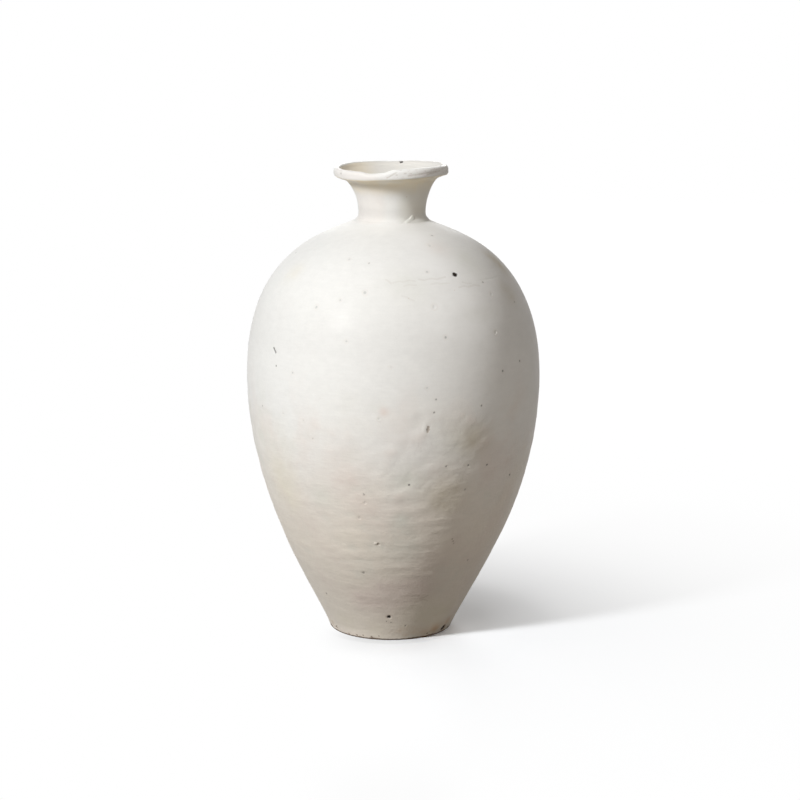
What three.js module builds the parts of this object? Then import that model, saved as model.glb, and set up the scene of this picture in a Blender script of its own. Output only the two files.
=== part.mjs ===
// A meiping: a tall white-glazed stoneware bottle with high round shoulders, a short neck and a rolled lip.
// It is thrown on a wheel in sections that are stacked rim to rim and luted together with soft slip.
// Every piece is a revolved solid on the Z axis. The bottle stands on the plane Z = 0.
import * as THREE from "three";

// Sizes are in millimetres and angles in degrees.

// Outside of the body
const FOOT_RADIUS = 47.2;
const FOOT_LEAN = 22;
const BELLY_RADIUS = 112.8;
const BELLY_HEIGHT = 199;
const NECK_SEAT_RADIUS = 28;
const NECK_SEAT_HEIGHT = 319.5;
const SHOULDER_SLOPE = 28;

// How far each end's direction carries into the body's curve, as a share of that curve's own rise
const FOOT_CARRY = 0.18;
const LOWER_BELLY_CARRY = 0.48;
const UPPER_BELLY_CARRY = 0.83;
const SHOULDER_CARRY = 0.18;

// Wall, floor and turned foot
const FOOT_WALL = 9;
const BELLY_WALL = 6.5;
const SHOULDER_WALL = 6;
const FLOOR_THICKNESS = 9;
const FLOOR_RADIUS = 26;
const FLOOR_CORNER_HEIGHT = 12;
const FLOOR_CORNER_RUN = 14;
const FOOT_RECESS = 3;
const FOOT_RING_WIDTH = 9;
const FOOT_RING_TAPER = 1.5;
const FOOT_BEVEL = 1.6;

// Luted joints: level rims with a layer of slip between them, and the bead that squeezed out inside.
// The lower seam is measured up from the foot, and the shoulder's down from the neck's seat.
const LOWER_SEAM_HEIGHT = 130;
const SHOULDER_SEAM_DROP = 35.5;
const SLIP_THICKNESS = 1.2;
const RIM_BEVEL = 2.5;
const BEAD_HEIGHT = 1.5;

// Neck
const BORE_RADIUS = 20.5;
const NECK_HEIGHT = 29.3;
const NECK_RADIUS = 25.6;
const NECK_WAIST_HEIGHT = 4.5;
const NECK_TOP_RADIUS = 35.6;
const NECK_TOP_WALL = 4.8;
const NECK_FLARE = 39;
const NECK_WAIST_CARRY = 0.15;
const NECK_FLARE_CARRY = 0.48;

// Rolled lip
const LIP_HEIGHT = 10;
const LIP_RADIUS = 43.6;
const LIP_BAND_HEIGHT = 7.8;
const LIP_BAND_ROUND = 2.6;
const LIP_CREST_WIDTH = 3.6;
const LIP_CREST_ROUND = 2.4;

// Facets: how many flat strips stand for a full turn and for each stretch of curve
const TURN_STRIPS = 48;
const FOOT_STEPS = 9;
const BELLY_STEPS = 10;
const SHOULDER_STEPS = 9;
const NECK_STEPS = 8;
const CORNER_STEPS = 4;
const SEARCH_ROUNDS = 50;

const radians = THREE.MathUtils.degToRad;
const point = (radius, height) => new THREE.Vector2(radius, height);

const floorHeight = FOOT_RECESS + FLOOR_THICKNESS;
const neckBase = NECK_SEAT_HEIGHT + SLIP_THICKNESS;
const neckTop = neckBase + NECK_HEIGHT;
const lipTop = neckTop + LIP_HEIGHT;

// The body's outline in the radius and height plane: one cubic curve below the belly and one above it.
// A place on it is a number from 0 at the foot, through 1 at the belly, to 2 at the neck's seat.
const shoulderRise = NECK_SEAT_HEIGHT - BELLY_HEIGHT;
const footReach = FOOT_CARRY * BELLY_HEIGHT;
const shoulderReach = SHOULDER_CARRY * shoulderRise;
const belly = point(BELLY_RADIUS, BELLY_HEIGHT);
const lowerOutline = new THREE.CubicBezierCurve(
  point(FOOT_RADIUS, 0),
  point(
    FOOT_RADIUS + footReach * Math.sin(radians(FOOT_LEAN)),
    footReach * Math.cos(radians(FOOT_LEAN)),
  ),
  point(BELLY_RADIUS, BELLY_HEIGHT - LOWER_BELLY_CARRY * BELLY_HEIGHT),
  belly,
);
const upperOutline = new THREE.CubicBezierCurve(
  belly,
  point(BELLY_RADIUS, BELLY_HEIGHT + UPPER_BELLY_CARRY * shoulderRise),
  point(
    NECK_SEAT_RADIUS + shoulderReach * Math.cos(radians(SHOULDER_SLOPE)),
    NECK_SEAT_HEIGHT - shoulderReach * Math.sin(radians(SHOULDER_SLOPE)),
  ),
  point(NECK_SEAT_RADIUS, NECK_SEAT_HEIGHT),
);

// A point of the outer surface
function outside(place) {
  return place < 1 ? lowerOutline.getPoint(place) : upperOutline.getPoint(place - 1);
}

// The point of the inner surface that lies one wall thickness behind the same place
function inside(place) {
  const direction = place < 1 ? lowerOutline.getTangent(place) : upperOutline.getTangent(place - 1);
  const wall =
    place < 1
      ? THREE.MathUtils.lerp(FOOT_WALL, BELLY_WALL, place)
      : THREE.MathUtils.lerp(BELLY_WALL, SHOULDER_WALL, place - 1);
  const inward = point(-direction.y, direction.x);
  return outside(place).addScaledVector(inward, wall);
}

// The place where a surface reaches a height, found by halving
function placeAt(surface, height) {
  let low = 0;
  let high = 2;
  for (let round = 0; round < SEARCH_ROUNDS; round += 1) {
    const middle = (low + high) / 2;
    if (surface(middle).y < height) {
      low = middle;
    } else {
      high = middle;
    }
  }
  return (low + high) / 2;
}

// Points of a surface from one height to another, with its first and last points exactly at those heights
function stretch(surface, fromHeight, toHeight, steps) {
  const from = placeAt(surface, fromHeight);
  const to = placeAt(surface, toHeight);
  const points = [];
  for (let step = 0; step <= steps; step += 1) {
    points.push(surface(THREE.MathUtils.lerp(from, to, step / steps)));
  }
  points[0].y = fromHeight;
  points[steps].y = toHeight;
  return points;
}

// Points of a rounded corner between two ends, drawn towards its corner point and reaching halfway to it
function corner(from, through, to) {
  return new THREE.QuadraticBezierCurve(from, through, to).getPoints(CORNER_STEPS);
}

// A closed profile, revolved about the Z axis. It runs anticlockwise, with radius across and height up.
function revolve(name, profile, material) {
  const distinct = profile.filter((at, index) => index === 0 || at.distanceTo(profile[index - 1]) > 0);
  const geometry = new THREE.LatheGeometry(distinct, TURN_STRIPS);
  geometry.rotateX(Math.PI / 2);
  const mesh = new THREE.Mesh(geometry, material);
  mesh.name = name;
  return mesh;
}

// A ring's profile has to end where it starts, while a solid one starts and ends on the axis
const closed = (profile) => [...profile, profile[0].clone()];

// Where the two body seams lie: the slip's lower and upper faces
const seamFaces = (height) => ({
  low: height - SLIP_THICKNESS / 2,
  high: height + SLIP_THICKNESS / 2,
});
const lowerSeam = seamFaces(LOWER_SEAM_HEIGHT);
const shoulderSeam = seamFaces(NECK_SEAT_HEIGHT - SHOULDER_SEAM_DROP);

// A rim's inner edge is bevelled, away from the slip, to leave room for the bead: the bevel's two ends
function rimBevel(slipFace, away) {
  const innerHeight = slipFace + away * RIM_BEVEL;
  const inner = inside(placeAt(inside, innerHeight));
  inner.y = innerHeight;
  const level = inside(placeAt(inside, slipFace));
  return { inner, outer: point(level.x + RIM_BEVEL, slipFace) };
}

// The bottom section: a bowl with a flat floor, turned on its underside to leave a low foot ring
function footSection(material) {
  const bevelTop = outside(placeAt(outside, FOOT_BEVEL));
  const ringOuter = bevelTop.x - FOOT_BEVEL;
  const ringInner = ringOuter - FOOT_RING_WIDTH;
  const rim = rimBevel(lowerSeam.low, -1);
  const wallInside = stretch(inside, rim.inner.y, floorHeight + FLOOR_CORNER_HEIGHT, FOOT_STEPS);
  const floorEdge = point(FLOOR_RADIUS, floorHeight);
  const floorCorner = point(FLOOR_RADIUS + FLOOR_CORNER_RUN, floorHeight);
  return revolve(
    "foot_section",
    [
      point(0, FOOT_RECESS),
      point(ringInner - FOOT_RING_TAPER, FOOT_RECESS),
      point(ringInner, 0),
      point(ringOuter, 0),
      ...stretch(outside, FOOT_BEVEL, lowerSeam.low, FOOT_STEPS),
      rim.outer,
      ...wallInside,
      ...corner(wallInside[FOOT_STEPS], floorCorner, floorEdge),
      point(0, floorHeight),
    ],
    material,
  );
}

// The middle section: an open barrel that carries the fullest part of the belly
function bellySection(material) {
  const lowRim = rimBevel(lowerSeam.high, 1);
  const highRim = rimBevel(shoulderSeam.low, -1);
  return revolve(
    "belly_section",
    closed([
      lowRim.outer,
      ...stretch(outside, lowerSeam.high, shoulderSeam.low, BELLY_STEPS),
      highRim.outer,
      ...stretch(inside, highRim.inner.y, lowRim.inner.y, BELLY_STEPS),
    ]),
    material,
  );
}

// The shoulder: a dome with a level seat for the neck round its hole
function shoulderSection(material) {
  const rim = rimBevel(shoulderSeam.high, 1);
  const innerEnd = inside(2);
  const boreRise = (innerEnd.x - BORE_RADIUS) * Math.tan(radians(SHOULDER_SLOPE));
  return revolve(
    "shoulder_section",
    closed([
      rim.outer,
      ...stretch(outside, shoulderSeam.high, NECK_SEAT_HEIGHT, SHOULDER_STEPS),
      point(BORE_RADIUS, NECK_SEAT_HEIGHT),
      point(BORE_RADIUS, innerEnd.y + boreRise),
      ...stretch(inside, innerEnd.y, rim.inner.y, SHOULDER_STEPS),
    ]),
    material,
  );
}

// The slip of a body seam: a thin level layer, flush outside, that widens into a rounded bead inside
function bodySeam(name, seam, material) {
  const below = rimBevel(seam.low, -1);
  const above = rimBevel(seam.high, 1);
  const nose = point(
    (below.inner.x + above.inner.x) / 2 - 2 * BEAD_HEIGHT,
    (below.inner.y + above.inner.y) / 2,
  );
  const outer = stretch(outside, seam.low, seam.high, 1);
  return revolve(
    name,
    closed([below.outer, ...outer, above.outer, ...corner(above.inner, nose, below.inner)]),
    material,
  );
}

// The slip under the neck: a flat washer, with its bead standing a little into the bore
function neckSeam(material) {
  const nose = point(BORE_RADIUS - 2 * BEAD_HEIGHT, (NECK_SEAT_HEIGHT + neckBase) / 2);
  return revolve(
    "neck_luting_seam",
    closed([
      point(NECK_SEAT_RADIUS, NECK_SEAT_HEIGHT),
      point(NECK_SEAT_RADIUS, neckBase),
      ...corner(point(BORE_RADIUS, neckBase), nose, point(BORE_RADIUS, NECK_SEAT_HEIGHT)),
    ]),
    material,
  );
}

// The neck: a short waisted tube that spreads at its foot and flares to carry the lip
function neck(material) {
  const waist = neckBase + NECK_WAIST_HEIGHT;
  const flareRise = neckTop - waist;
  const flareReach = NECK_FLARE_CARRY * flareRise;
  const flare = (radius, topRadius) =>
    new THREE.CubicBezierCurve(
      point(radius, waist),
      point(radius, waist + NECK_WAIST_CARRY * flareRise),
      point(
        topRadius - flareReach * Math.cos(radians(NECK_FLARE)),
        neckTop - flareReach * Math.sin(radians(NECK_FLARE)),
      ),
      point(topRadius, neckTop),
    ).getPoints(NECK_STEPS);
  return revolve(
    "neck",
    closed([
      point(BORE_RADIUS, neckBase),
      ...corner(point(NECK_SEAT_RADIUS, neckBase), point(NECK_RADIUS, neckBase), point(NECK_RADIUS, waist)),
      ...flare(NECK_RADIUS, NECK_TOP_RADIUS),
      ...flare(BORE_RADIUS, NECK_TOP_RADIUS - NECK_TOP_WALL).reverse(),
    ]),
    material,
  );
}

// The lip: a rounded band rolled outwards over the mouth, which stands on the neck's flat top
function rolledLip(material) {
  const seatInner = point(NECK_TOP_RADIUS - NECK_TOP_WALL, neckTop);
  const bandLow = lipTop - LIP_BAND_HEIGHT;
  const bandFace = bandLow + LIP_BAND_ROUND;
  const crestOuter = LIP_RADIUS - LIP_CREST_ROUND;
  const crestInner = crestOuter - LIP_CREST_WIDTH;
  return revolve(
    "rolled_lip",
    closed([
      seatInner,
      point(NECK_TOP_RADIUS, neckTop),
      ...corner(
        point(LIP_RADIUS - LIP_BAND_ROUND, bandLow),
        point(LIP_RADIUS, bandLow),
        point(LIP_RADIUS, bandFace),
      ),
      ...corner(
        point(LIP_RADIUS, lipTop - LIP_CREST_ROUND),
        point(LIP_RADIUS, lipTop),
        point(crestOuter, lipTop),
      ),
      ...corner(
        point(crestOuter, lipTop),
        point((crestOuter + crestInner) / 2, lipTop),
        point(crestInner, lipTop - LIP_CREST_ROUND),
      ),
    ]),
    material,
  );
}

// Each thrown piece shows the same warm white glaze, and each seam is a greyer slip
const glaze = () => new THREE.MeshStandardMaterial({ color: 0xece9e1, roughness: 0.3, metalness: 0 });
const slip = () => new THREE.MeshStandardMaterial({ color: 0xd2c8b8, roughness: 0.7, metalness: 0 });

const meiping = new THREE.Group();
meiping.name = "meiping";
meiping.add(
  footSection(glaze()),
  bodySeam("lower_luting_seam", lowerSeam, slip()),
  bellySection(glaze()),
  bodySeam("shoulder_luting_seam", shoulderSeam, slip()),
  shoulderSection(glaze()),
  neckSeam(slip()),
  neck(glaze()),
  rolledLip(glaze()),
);

export default meiping;
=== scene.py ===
"""A meiping: a tall white-glazed stoneware bottle, thrown in sections and luted with slip.

Each luted section of the frame gets one closed, finely turned piece that stands in the same place.
A Geometry Nodes tree then gives all of them the marks of hand work: a leaning axis, throwing rings,
slanting scrapes, dents, pits and a lip that isn't level. Lengths are in millimetres until a mesh is made.
"""
import math

import bmesh
import bpy
import numpy as np
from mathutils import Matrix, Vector


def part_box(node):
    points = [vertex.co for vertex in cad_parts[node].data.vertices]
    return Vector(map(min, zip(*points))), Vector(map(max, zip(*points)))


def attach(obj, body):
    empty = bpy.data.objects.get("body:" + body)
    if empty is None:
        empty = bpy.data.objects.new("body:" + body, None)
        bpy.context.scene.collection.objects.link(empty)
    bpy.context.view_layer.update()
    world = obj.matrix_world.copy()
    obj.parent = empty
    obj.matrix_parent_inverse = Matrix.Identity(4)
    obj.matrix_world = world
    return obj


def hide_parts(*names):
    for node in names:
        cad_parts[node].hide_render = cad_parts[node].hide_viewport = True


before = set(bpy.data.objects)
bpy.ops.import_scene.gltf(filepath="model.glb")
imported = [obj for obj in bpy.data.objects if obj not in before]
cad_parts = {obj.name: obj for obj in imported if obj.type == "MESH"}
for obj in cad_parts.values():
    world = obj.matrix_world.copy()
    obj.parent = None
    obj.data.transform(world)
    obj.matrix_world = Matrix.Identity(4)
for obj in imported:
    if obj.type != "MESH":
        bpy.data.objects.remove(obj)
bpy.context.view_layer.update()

MM = 0.001
# Lengths that count as none: from the axis or a height, and between two rows of a profile
TINY = 1e-6
TOUCHING = 1e-5

# The photograph's frame and the camera that matches it
PHOTO_WIDTH = 800
CAMERA_PLACE = (0.0063, -1.773, 0.5317)
CAMERA_TILT = math.radians(78.75)
CAMERA_LENS = 105.07
CAMERA_SENSOR = 36.0
# How far along a sight line the wall is looked for
SIGHT_NEAR, SIGHT_FAR = 1500.0, 1950.0
SIGHT_STEPS = 9001

# Outside of the body, as the solids have it
FOOT_RADIUS = 47.2
FOOT_LEAN = math.radians(22)
BELLY_RADIUS = 112.8
BELLY_HEIGHT = 199.0
NECK_SEAT_RADIUS = 28.0
SHOULDER_SLOPE = math.radians(28)
FOOT_CARRY = 0.18
LOWER_BELLY_CARRY = 0.48
UPPER_BELLY_CARRY = 0.83
SHOULDER_CARRY = 0.18

# Wall, floor and turned foot
FOOT_WALL = 9.0
BELLY_WALL = 6.5
SHOULDER_WALL = 6.0
FLOOR_HEIGHT = 12.0
FLOOR_RADIUS = 26.0
FLOOR_CORNER_HEIGHT = 12.0
FLOOR_CORNER_RUN = 14.0
FOOT_RECESS = 3.0
FOOT_RING_WIDTH = 9.0
FOOT_RING_TAPER = 1.5
FOOT_BEVEL = 1.6
GLAZED_BEVEL_ROWS = 3
RIM_BEVEL = 2.5
BEAD_HEIGHT = 1.5

# Neck and lip
BORE_RADIUS = 20.5
NECK_RADIUS = 25.6
NECK_WAIST_HEIGHT = 4.5
NECK_TOP_RADIUS = 35.6
NECK_TOP_WALL = 4.8
NECK_FLARE = math.radians(39)
NECK_WAIST_CARRY = 0.15
NECK_FLARE_CARRY = 0.48
LIP_RADIUS = 43.6
LIP_BAND_HEIGHT = 7.8
LIP_BAND_ROUND = 2.6
LIP_CREST_WIDTH = 3.0
LIP_CREST_ROUND = 3.2

# Heights that the frame gives
LOWER_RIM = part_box("foot_section")[1].z / MM
BELLY_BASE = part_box("belly_section")[0].z / MM
BELLY_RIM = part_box("belly_section")[1].z / MM
SHOULDER_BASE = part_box("shoulder_section")[0].z / MM
NECK_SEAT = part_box("shoulder_section")[1].z / MM
NECK_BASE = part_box("neck")[0].z / MM
NECK_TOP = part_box("neck")[1].z / MM
LIP_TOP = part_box("rolled_lip")[1].z / MM

# How finely the surface is turned, and the heights between which a gap holds
TURN_COLUMNS = 512
CURVE_STEPS = 400
BEVEL_GAP = 0.4
EDGE_GAP = 0.6
RING_GAP = 1.35
WALL_GAP = 1.35
SEAM_GAP = 0.45
NECK_GAP = 0.7
LIP_GAP = 0.55
INSIDE_GAP = 8.0
EDGE_HIGH = 10.0
RING_LOW, RING_HIGH = 26.0, 118.0
SEAM_LOW, SEAM_HIGH = 277.0, 291.0
ROOT_LOW, ROOT_HIGH = 315.0, 327.0
ROOT_SOFTENING = 5
# How finely it is cut again round each small mark, and how far out from it
MARK_CUTS = 2
MARK_SPREAD = 1.2
MARK_MARGIN = 0.5
# The angle past which an edge stays sharp, and the decimals that make two places one
SHARP_EDGE = math.radians(50)
JOINT_DIGITS = 3

# Finishes of the faces
GLAZE, CLAY, INSIDE, SLIP = range(4)


# The profile


def spot(radius, height):
    return np.array([radius, height], float)


def cubic(start, lead, trail, end, steps=CURVE_STEPS):
    """A curve that leaves its start towards one spot and reaches its end from another."""
    t = np.linspace(0, 1, steps + 1)[:, None]
    s = 1 - t
    return s**3 * start + 3 * s**2 * t * lead + 3 * s * t**2 * trail + t**3 * end


def corner(start, through, end, steps=CURVE_STEPS):
    """A curve that rounds off the corner at one spot, and comes halfway to it."""
    t = np.linspace(0, 1, steps + 1)[:, None]
    s = 1 - t
    return s**2 * start + 2 * s * t * through + t**2 * end


def line(*spots):
    return np.array(spots, float)


def spaced(path, gap):
    """The same path with its points an even gap apart."""
    run = np.concatenate([[0], np.cumsum(np.linalg.norm(np.diff(path, axis=0), axis=1))])
    at = np.linspace(0, run[-1], max(1, math.ceil(run[-1] / gap)) + 1)
    return np.column_stack([np.interp(at, run, path[:, axis]) for axis in (0, 1)])


def cut(path, low, high):
    """The stretch of a rising path between two heights."""
    kept = path[(path[:, 1] > low + TINY) & (path[:, 1] < high - TINY)]
    ends = [spot(np.interp(h, path[:, 1], path[:, 0]), h) for h in (low, high)]
    return np.vstack([ends[0], kept, ends[1]])


def body_outline():
    """The outer and the inner surface of the body, from the foot to the neck's seat."""
    rise = NECK_SEAT - BELLY_HEIGHT
    belly = spot(BELLY_RADIUS, BELLY_HEIGHT)
    up = spot(0, 1)
    foot_reach = FOOT_CARRY * BELLY_HEIGHT
    seat_reach = SHOULDER_CARRY * rise
    foot = spot(FOOT_RADIUS, 0)
    seat = spot(NECK_SEAT_RADIUS, NECK_SEAT)
    lower = cubic(
        foot,
        foot + foot_reach * spot(math.sin(FOOT_LEAN), math.cos(FOOT_LEAN)),
        belly - LOWER_BELLY_CARRY * BELLY_HEIGHT * up,
        belly,
    )
    upper = cubic(
        belly,
        belly + UPPER_BELLY_CARRY * rise * up,
        seat + seat_reach * spot(math.cos(SHOULDER_SLOPE), -math.sin(SHOULDER_SLOPE)),
        seat,
    )
    outer = np.vstack([lower, upper[1:]])
    run = np.gradient(outer, axis=0)
    run /= np.linalg.norm(run, axis=1)[:, None]
    share = np.arange(len(outer)) / CURVE_STEPS
    wall = np.interp(share, [0, 1, 2], [FOOT_WALL, BELLY_WALL, SHOULDER_WALL])
    inner = outer + wall[:, None] * np.column_stack([-run[:, 1], run[:, 0]])
    return outer, inner


OUTER, INNER = body_outline()


def neck_flare(radius, top_radius):
    waist = NECK_BASE + NECK_WAIST_HEIGHT
    rise = NECK_TOP - waist
    reach = NECK_FLARE_CARRY * rise
    top = spot(top_radius, NECK_TOP)
    return cubic(
        spot(radius, waist),
        spot(radius, waist + NECK_WAIST_CARRY * rise),
        top - reach * spot(math.cos(NECK_FLARE), math.sin(NECK_FLARE)),
        top,
    )


def lip_outline():
    band_low = LIP_TOP - LIP_BAND_HEIGHT
    crest_outer = LIP_RADIUS - LIP_CREST_ROUND
    crest_inner = crest_outer - LIP_CREST_WIDTH
    return np.vstack(
        [
            [spot(NECK_TOP_RADIUS, NECK_TOP)],
            corner(
                spot(LIP_RADIUS - LIP_BAND_ROUND, band_low),
                spot(LIP_RADIUS, band_low),
                spot(LIP_RADIUS, band_low + LIP_BAND_ROUND),
            ),
            corner(
                spot(LIP_RADIUS, LIP_TOP - LIP_CREST_ROUND),
                spot(LIP_RADIUS, LIP_TOP),
                spot(crest_outer, LIP_TOP),
            ),
            corner(
                spot(crest_outer, LIP_TOP),
                spot((crest_outer + crest_inner) / 2, LIP_TOP),
                spot(crest_inner, LIP_TOP - LIP_CREST_ROUND),
            ),
            [spot(NECK_TOP_RADIUS - NECK_TOP_WALL, NECK_TOP)],
        ]
    )


def walls(*steps):
    """Stretches of the body's outside, each from a height to a height with its own gap."""
    rows = [spaced(cut(OUTER, low, high), gap) for low, high, gap in steps]
    return np.vstack([rows[0], *[more[1:] for more in rows[1:]]])


SKIN_STRETCHES = {
    "foot_section": walls(
        (FOOT_BEVEL, EDGE_HIGH, EDGE_GAP),
        (EDGE_HIGH, RING_LOW, WALL_GAP),
        (RING_LOW, RING_HIGH, RING_GAP),
        (RING_HIGH, LOWER_RIM, WALL_GAP),
    ),
    "lower_luting_seam": walls((LOWER_RIM, BELLY_BASE, SEAM_GAP)),
    "belly_section": walls((BELLY_BASE, SEAM_LOW, WALL_GAP), (SEAM_LOW, BELLY_RIM, SEAM_GAP)),
    "shoulder_luting_seam": walls((BELLY_RIM, SHOULDER_BASE, SEAM_GAP)),
    "shoulder_section": walls(
        (SHOULDER_BASE, SEAM_HIGH, SEAM_GAP),
        (SEAM_HIGH, ROOT_LOW, WALL_GAP),
        (ROOT_LOW, NECK_SEAT, NECK_GAP),
    ),
    "neck_luting_seam": spaced(
        line((NECK_SEAT_RADIUS, NECK_SEAT), (NECK_SEAT_RADIUS, NECK_BASE)), SEAM_GAP
    ),
    "neck": spaced(
        np.vstack(
            [
                corner(
                    spot(NECK_SEAT_RADIUS, NECK_BASE),
                    spot(NECK_RADIUS, NECK_BASE),
                    spot(NECK_RADIUS, NECK_BASE + NECK_WAIST_HEIGHT),
                ),
                neck_flare(NECK_RADIUS, NECK_TOP_RADIUS)[1:],
            ]
        ),
        NECK_GAP,
    ),
    "rolled_lip": spaced(lip_outline(), LIP_GAP),
    "neck_bore": spaced(neck_flare(BORE_RADIUS, NECK_TOP_RADIUS - NECK_TOP_WALL)[::-1], NECK_GAP * 2),
}


def whole_skin():
    """All stretches as one path, softened at the neck's root, with its outward directions."""
    rows, reach, first = [], {}, 0
    for name, stretch in SKIN_STRETCHES.items():
        rows.append(stretch if not rows else stretch[1:])
        last = first + len(stretch) - 1
        reach[name] = (first, last)
        first = last
    path = np.vstack(rows)
    outside = np.arange(len(path)) < reach["rolled_lip"][0]
    soft = outside & (path[:, 1] > ROOT_LOW) & (path[:, 1] < ROOT_HIGH)
    for _ in range(ROOT_SOFTENING):
        middle = (path[:-2] + path[2:]) / 4 + path[1:-1] / 2
        path[1:-1][soft[1:-1]] = middle[soft[1:-1]]
    run = np.gradient(path, axis=0)
    run /= np.linalg.norm(run, axis=1)[:, None]
    return path, np.column_stack([run[:, 1], -run[:, 0]]), reach


SKIN, OUTWARD, SKIN_REACH = whole_skin()


def rim_bevel(face, away):
    """The ends of a rim's bevelled inner edge: on the inner wall, and on the face that the slip joins."""
    on_wall = face + away * RIM_BEVEL
    inner = spot(np.interp(on_wall, INNER[:, 1], INNER[:, 0]), on_wall)
    outer = spot(np.interp(face, INNER[:, 1], INNER[:, 0]) + RIM_BEVEL, face)
    return inner, outer


class Section:
    """A closed profile: rows of radius and height, with the finish of the face after each row."""

    def __init__(self):
        self.rows, self.outward, self.skin, self.joint, self.finish = [], [], [], [], []

    def along(self, path, finish, outward=None):
        """Rows off the skin. They take no hand marks unless they are given an outward direction."""
        for at in path:
            self.add(at, outward or (0, 0), 1 if outward else 0, 0, finish)

    def skin_of(self, name, finish):
        first, last = SKIN_REACH[name]
        for row in range(first, last + 1):
            self.add(SKIN[row], OUTWARD[row], 1, row in (max(first, 1), last), finish)

    def add(self, at, outward, skin, joint, finish):
        if self.rows and np.linalg.norm(self.rows[-1] - at) < TOUCHING:
            self.finish[-1] = finish
            self.joint[-1] = max(joint, self.joint[-1])
            return
        self.rows.append(np.array(at, float))
        self.outward.append(outward)
        self.skin.append(skin)
        self.joint.append(joint)
        self.finish.append(finish)


def foot_profile():
    foot = Section()
    top = SKIN[0]
    ring_outer = top[0] - FOOT_BEVEL
    ring_inner = ring_outer - FOOT_RING_WIDTH
    recess_edge = ring_inner - FOOT_RING_TAPER
    foot.along(spaced(line((0, FOOT_RECESS), (recess_edge, FOOT_RECESS)), INSIDE_GAP / 2), CLAY)
    foot.along(spaced(line((recess_edge, FOOT_RECESS), (ring_inner, 0)), EDGE_GAP), CLAY)
    foot.along(spaced(line((ring_inner, 0), (ring_outer, 0)), EDGE_GAP * 3), CLAY)
    bevel = spaced(corner(spot(ring_outer, 0), spot(top[0] - BEVEL_GAP, 0), top), BEVEL_GAP)
    foot.along(bevel[1:], CLAY, outward=(math.sqrt(0.5), -math.sqrt(0.5)))
    foot.finish[-GLAZED_BEVEL_ROWS:] = [GLAZE] * GLAZED_BEVEL_ROWS
    foot.skin_of("foot_section", GLAZE)
    inner, outer = rim_bevel(LOWER_RIM, -1)
    corner_height = FLOOR_HEIGHT + FLOOR_CORNER_HEIGHT
    wall = spaced(cut(INNER, corner_height, inner[1])[::-1], INSIDE_GAP)
    foot.finish[-1] = SLIP
    foot.along(line(outer), SLIP)
    foot.along(wall, INSIDE)
    foot.along(
        spaced(
            corner(
                wall[-1],
                spot(FLOOR_RADIUS + FLOOR_CORNER_RUN, FLOOR_HEIGHT),
                spot(FLOOR_RADIUS, FLOOR_HEIGHT),
            ),
            INSIDE_GAP / 2,
        ),
        INSIDE,
    )
    foot.along(spaced(line((FLOOR_RADIUS, FLOOR_HEIGHT), (0, FLOOR_HEIGHT)), INSIDE_GAP), INSIDE)
    return foot


def belly_profile():
    belly = Section()
    low_inner, low_outer = rim_bevel(BELLY_BASE, 1)
    high_inner, high_outer = rim_bevel(BELLY_RIM, -1)
    belly.along(line(low_outer), SLIP)
    belly.skin_of("belly_section", GLAZE)
    belly.finish[-1] = SLIP
    belly.along(line(high_outer), SLIP)
    belly.along(spaced(cut(INNER, low_inner[1], high_inner[1])[::-1], INSIDE_GAP), INSIDE)
    return belly


def shoulder_profile():
    shoulder = Section()
    inner, outer = rim_bevel(SHOULDER_BASE, 1)
    end = INNER[-1]
    bore_rise = (end[0] - BORE_RADIUS) * math.tan(SHOULDER_SLOPE)
    shoulder.along(line(outer), SLIP)
    shoulder.skin_of("shoulder_section", GLAZE)
    shoulder.finish[-1] = SLIP
    shoulder.along(line((BORE_RADIUS, NECK_SEAT), (BORE_RADIUS, end[1] + bore_rise)), INSIDE)
    shoulder.along(spaced(cut(INNER, inner[1], end[1])[::-1], INSIDE_GAP / 2), INSIDE)
    return shoulder


def seam_profile(name, low, high):
    seam = Section()
    below_inner, below_outer = rim_bevel(low, -1)
    above_inner, above_outer = rim_bevel(high, 1)
    nose = (below_inner + above_inner) / 2 - spot(2 * BEAD_HEIGHT, 0)
    seam.along(line(below_outer), SLIP)
    seam.skin_of(name, GLAZE)
    seam.finish[-1] = SLIP
    seam.along(line(above_outer), SLIP)
    seam.along(spaced(corner(above_inner, nose, below_inner), EDGE_GAP), SLIP)
    return seam


def neck_seam_profile():
    seam = Section()
    nose = spot(BORE_RADIUS - 2 * BEAD_HEIGHT, (NECK_SEAT + NECK_BASE) / 2)
    seam.skin_of("neck_luting_seam", GLAZE)
    seam.finish[-1] = SLIP
    bead = corner(spot(BORE_RADIUS, NECK_BASE), nose, spot(BORE_RADIUS, NECK_SEAT))
    seam.along(spaced(bead, EDGE_GAP / 2), SLIP)
    return seam


def neck_profile():
    neck = Section()
    neck.skin_of("neck", GLAZE)
    neck.finish[-1] = SLIP
    neck.skin_of("neck_bore", INSIDE)
    bore_low = SKIN[SKIN_REACH["neck_bore"][1]][1]
    neck.along(spaced(line((BORE_RADIUS, bore_low), (BORE_RADIUS, NECK_BASE)), NECK_GAP * 2), INSIDE)
    neck.finish[-1] = SLIP
    return neck


def lip_profile():
    lip = Section()
    lip.skin_of("rolled_lip", GLAZE)
    lip.finish[-1] = SLIP
    return lip


PROFILES = {
    "foot_section": foot_profile(),
    "lower_luting_seam": seam_profile("lower_luting_seam", LOWER_RIM, BELLY_BASE),
    "belly_section": belly_profile(),
    "shoulder_luting_seam": seam_profile("shoulder_luting_seam", BELLY_RIM, SHOULDER_BASE),
    "shoulder_section": shoulder_profile(),
    "neck_luting_seam": neck_seam_profile(),
    "neck": neck_profile(),
    "rolled_lip": lip_profile(),
}

# The camera

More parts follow.
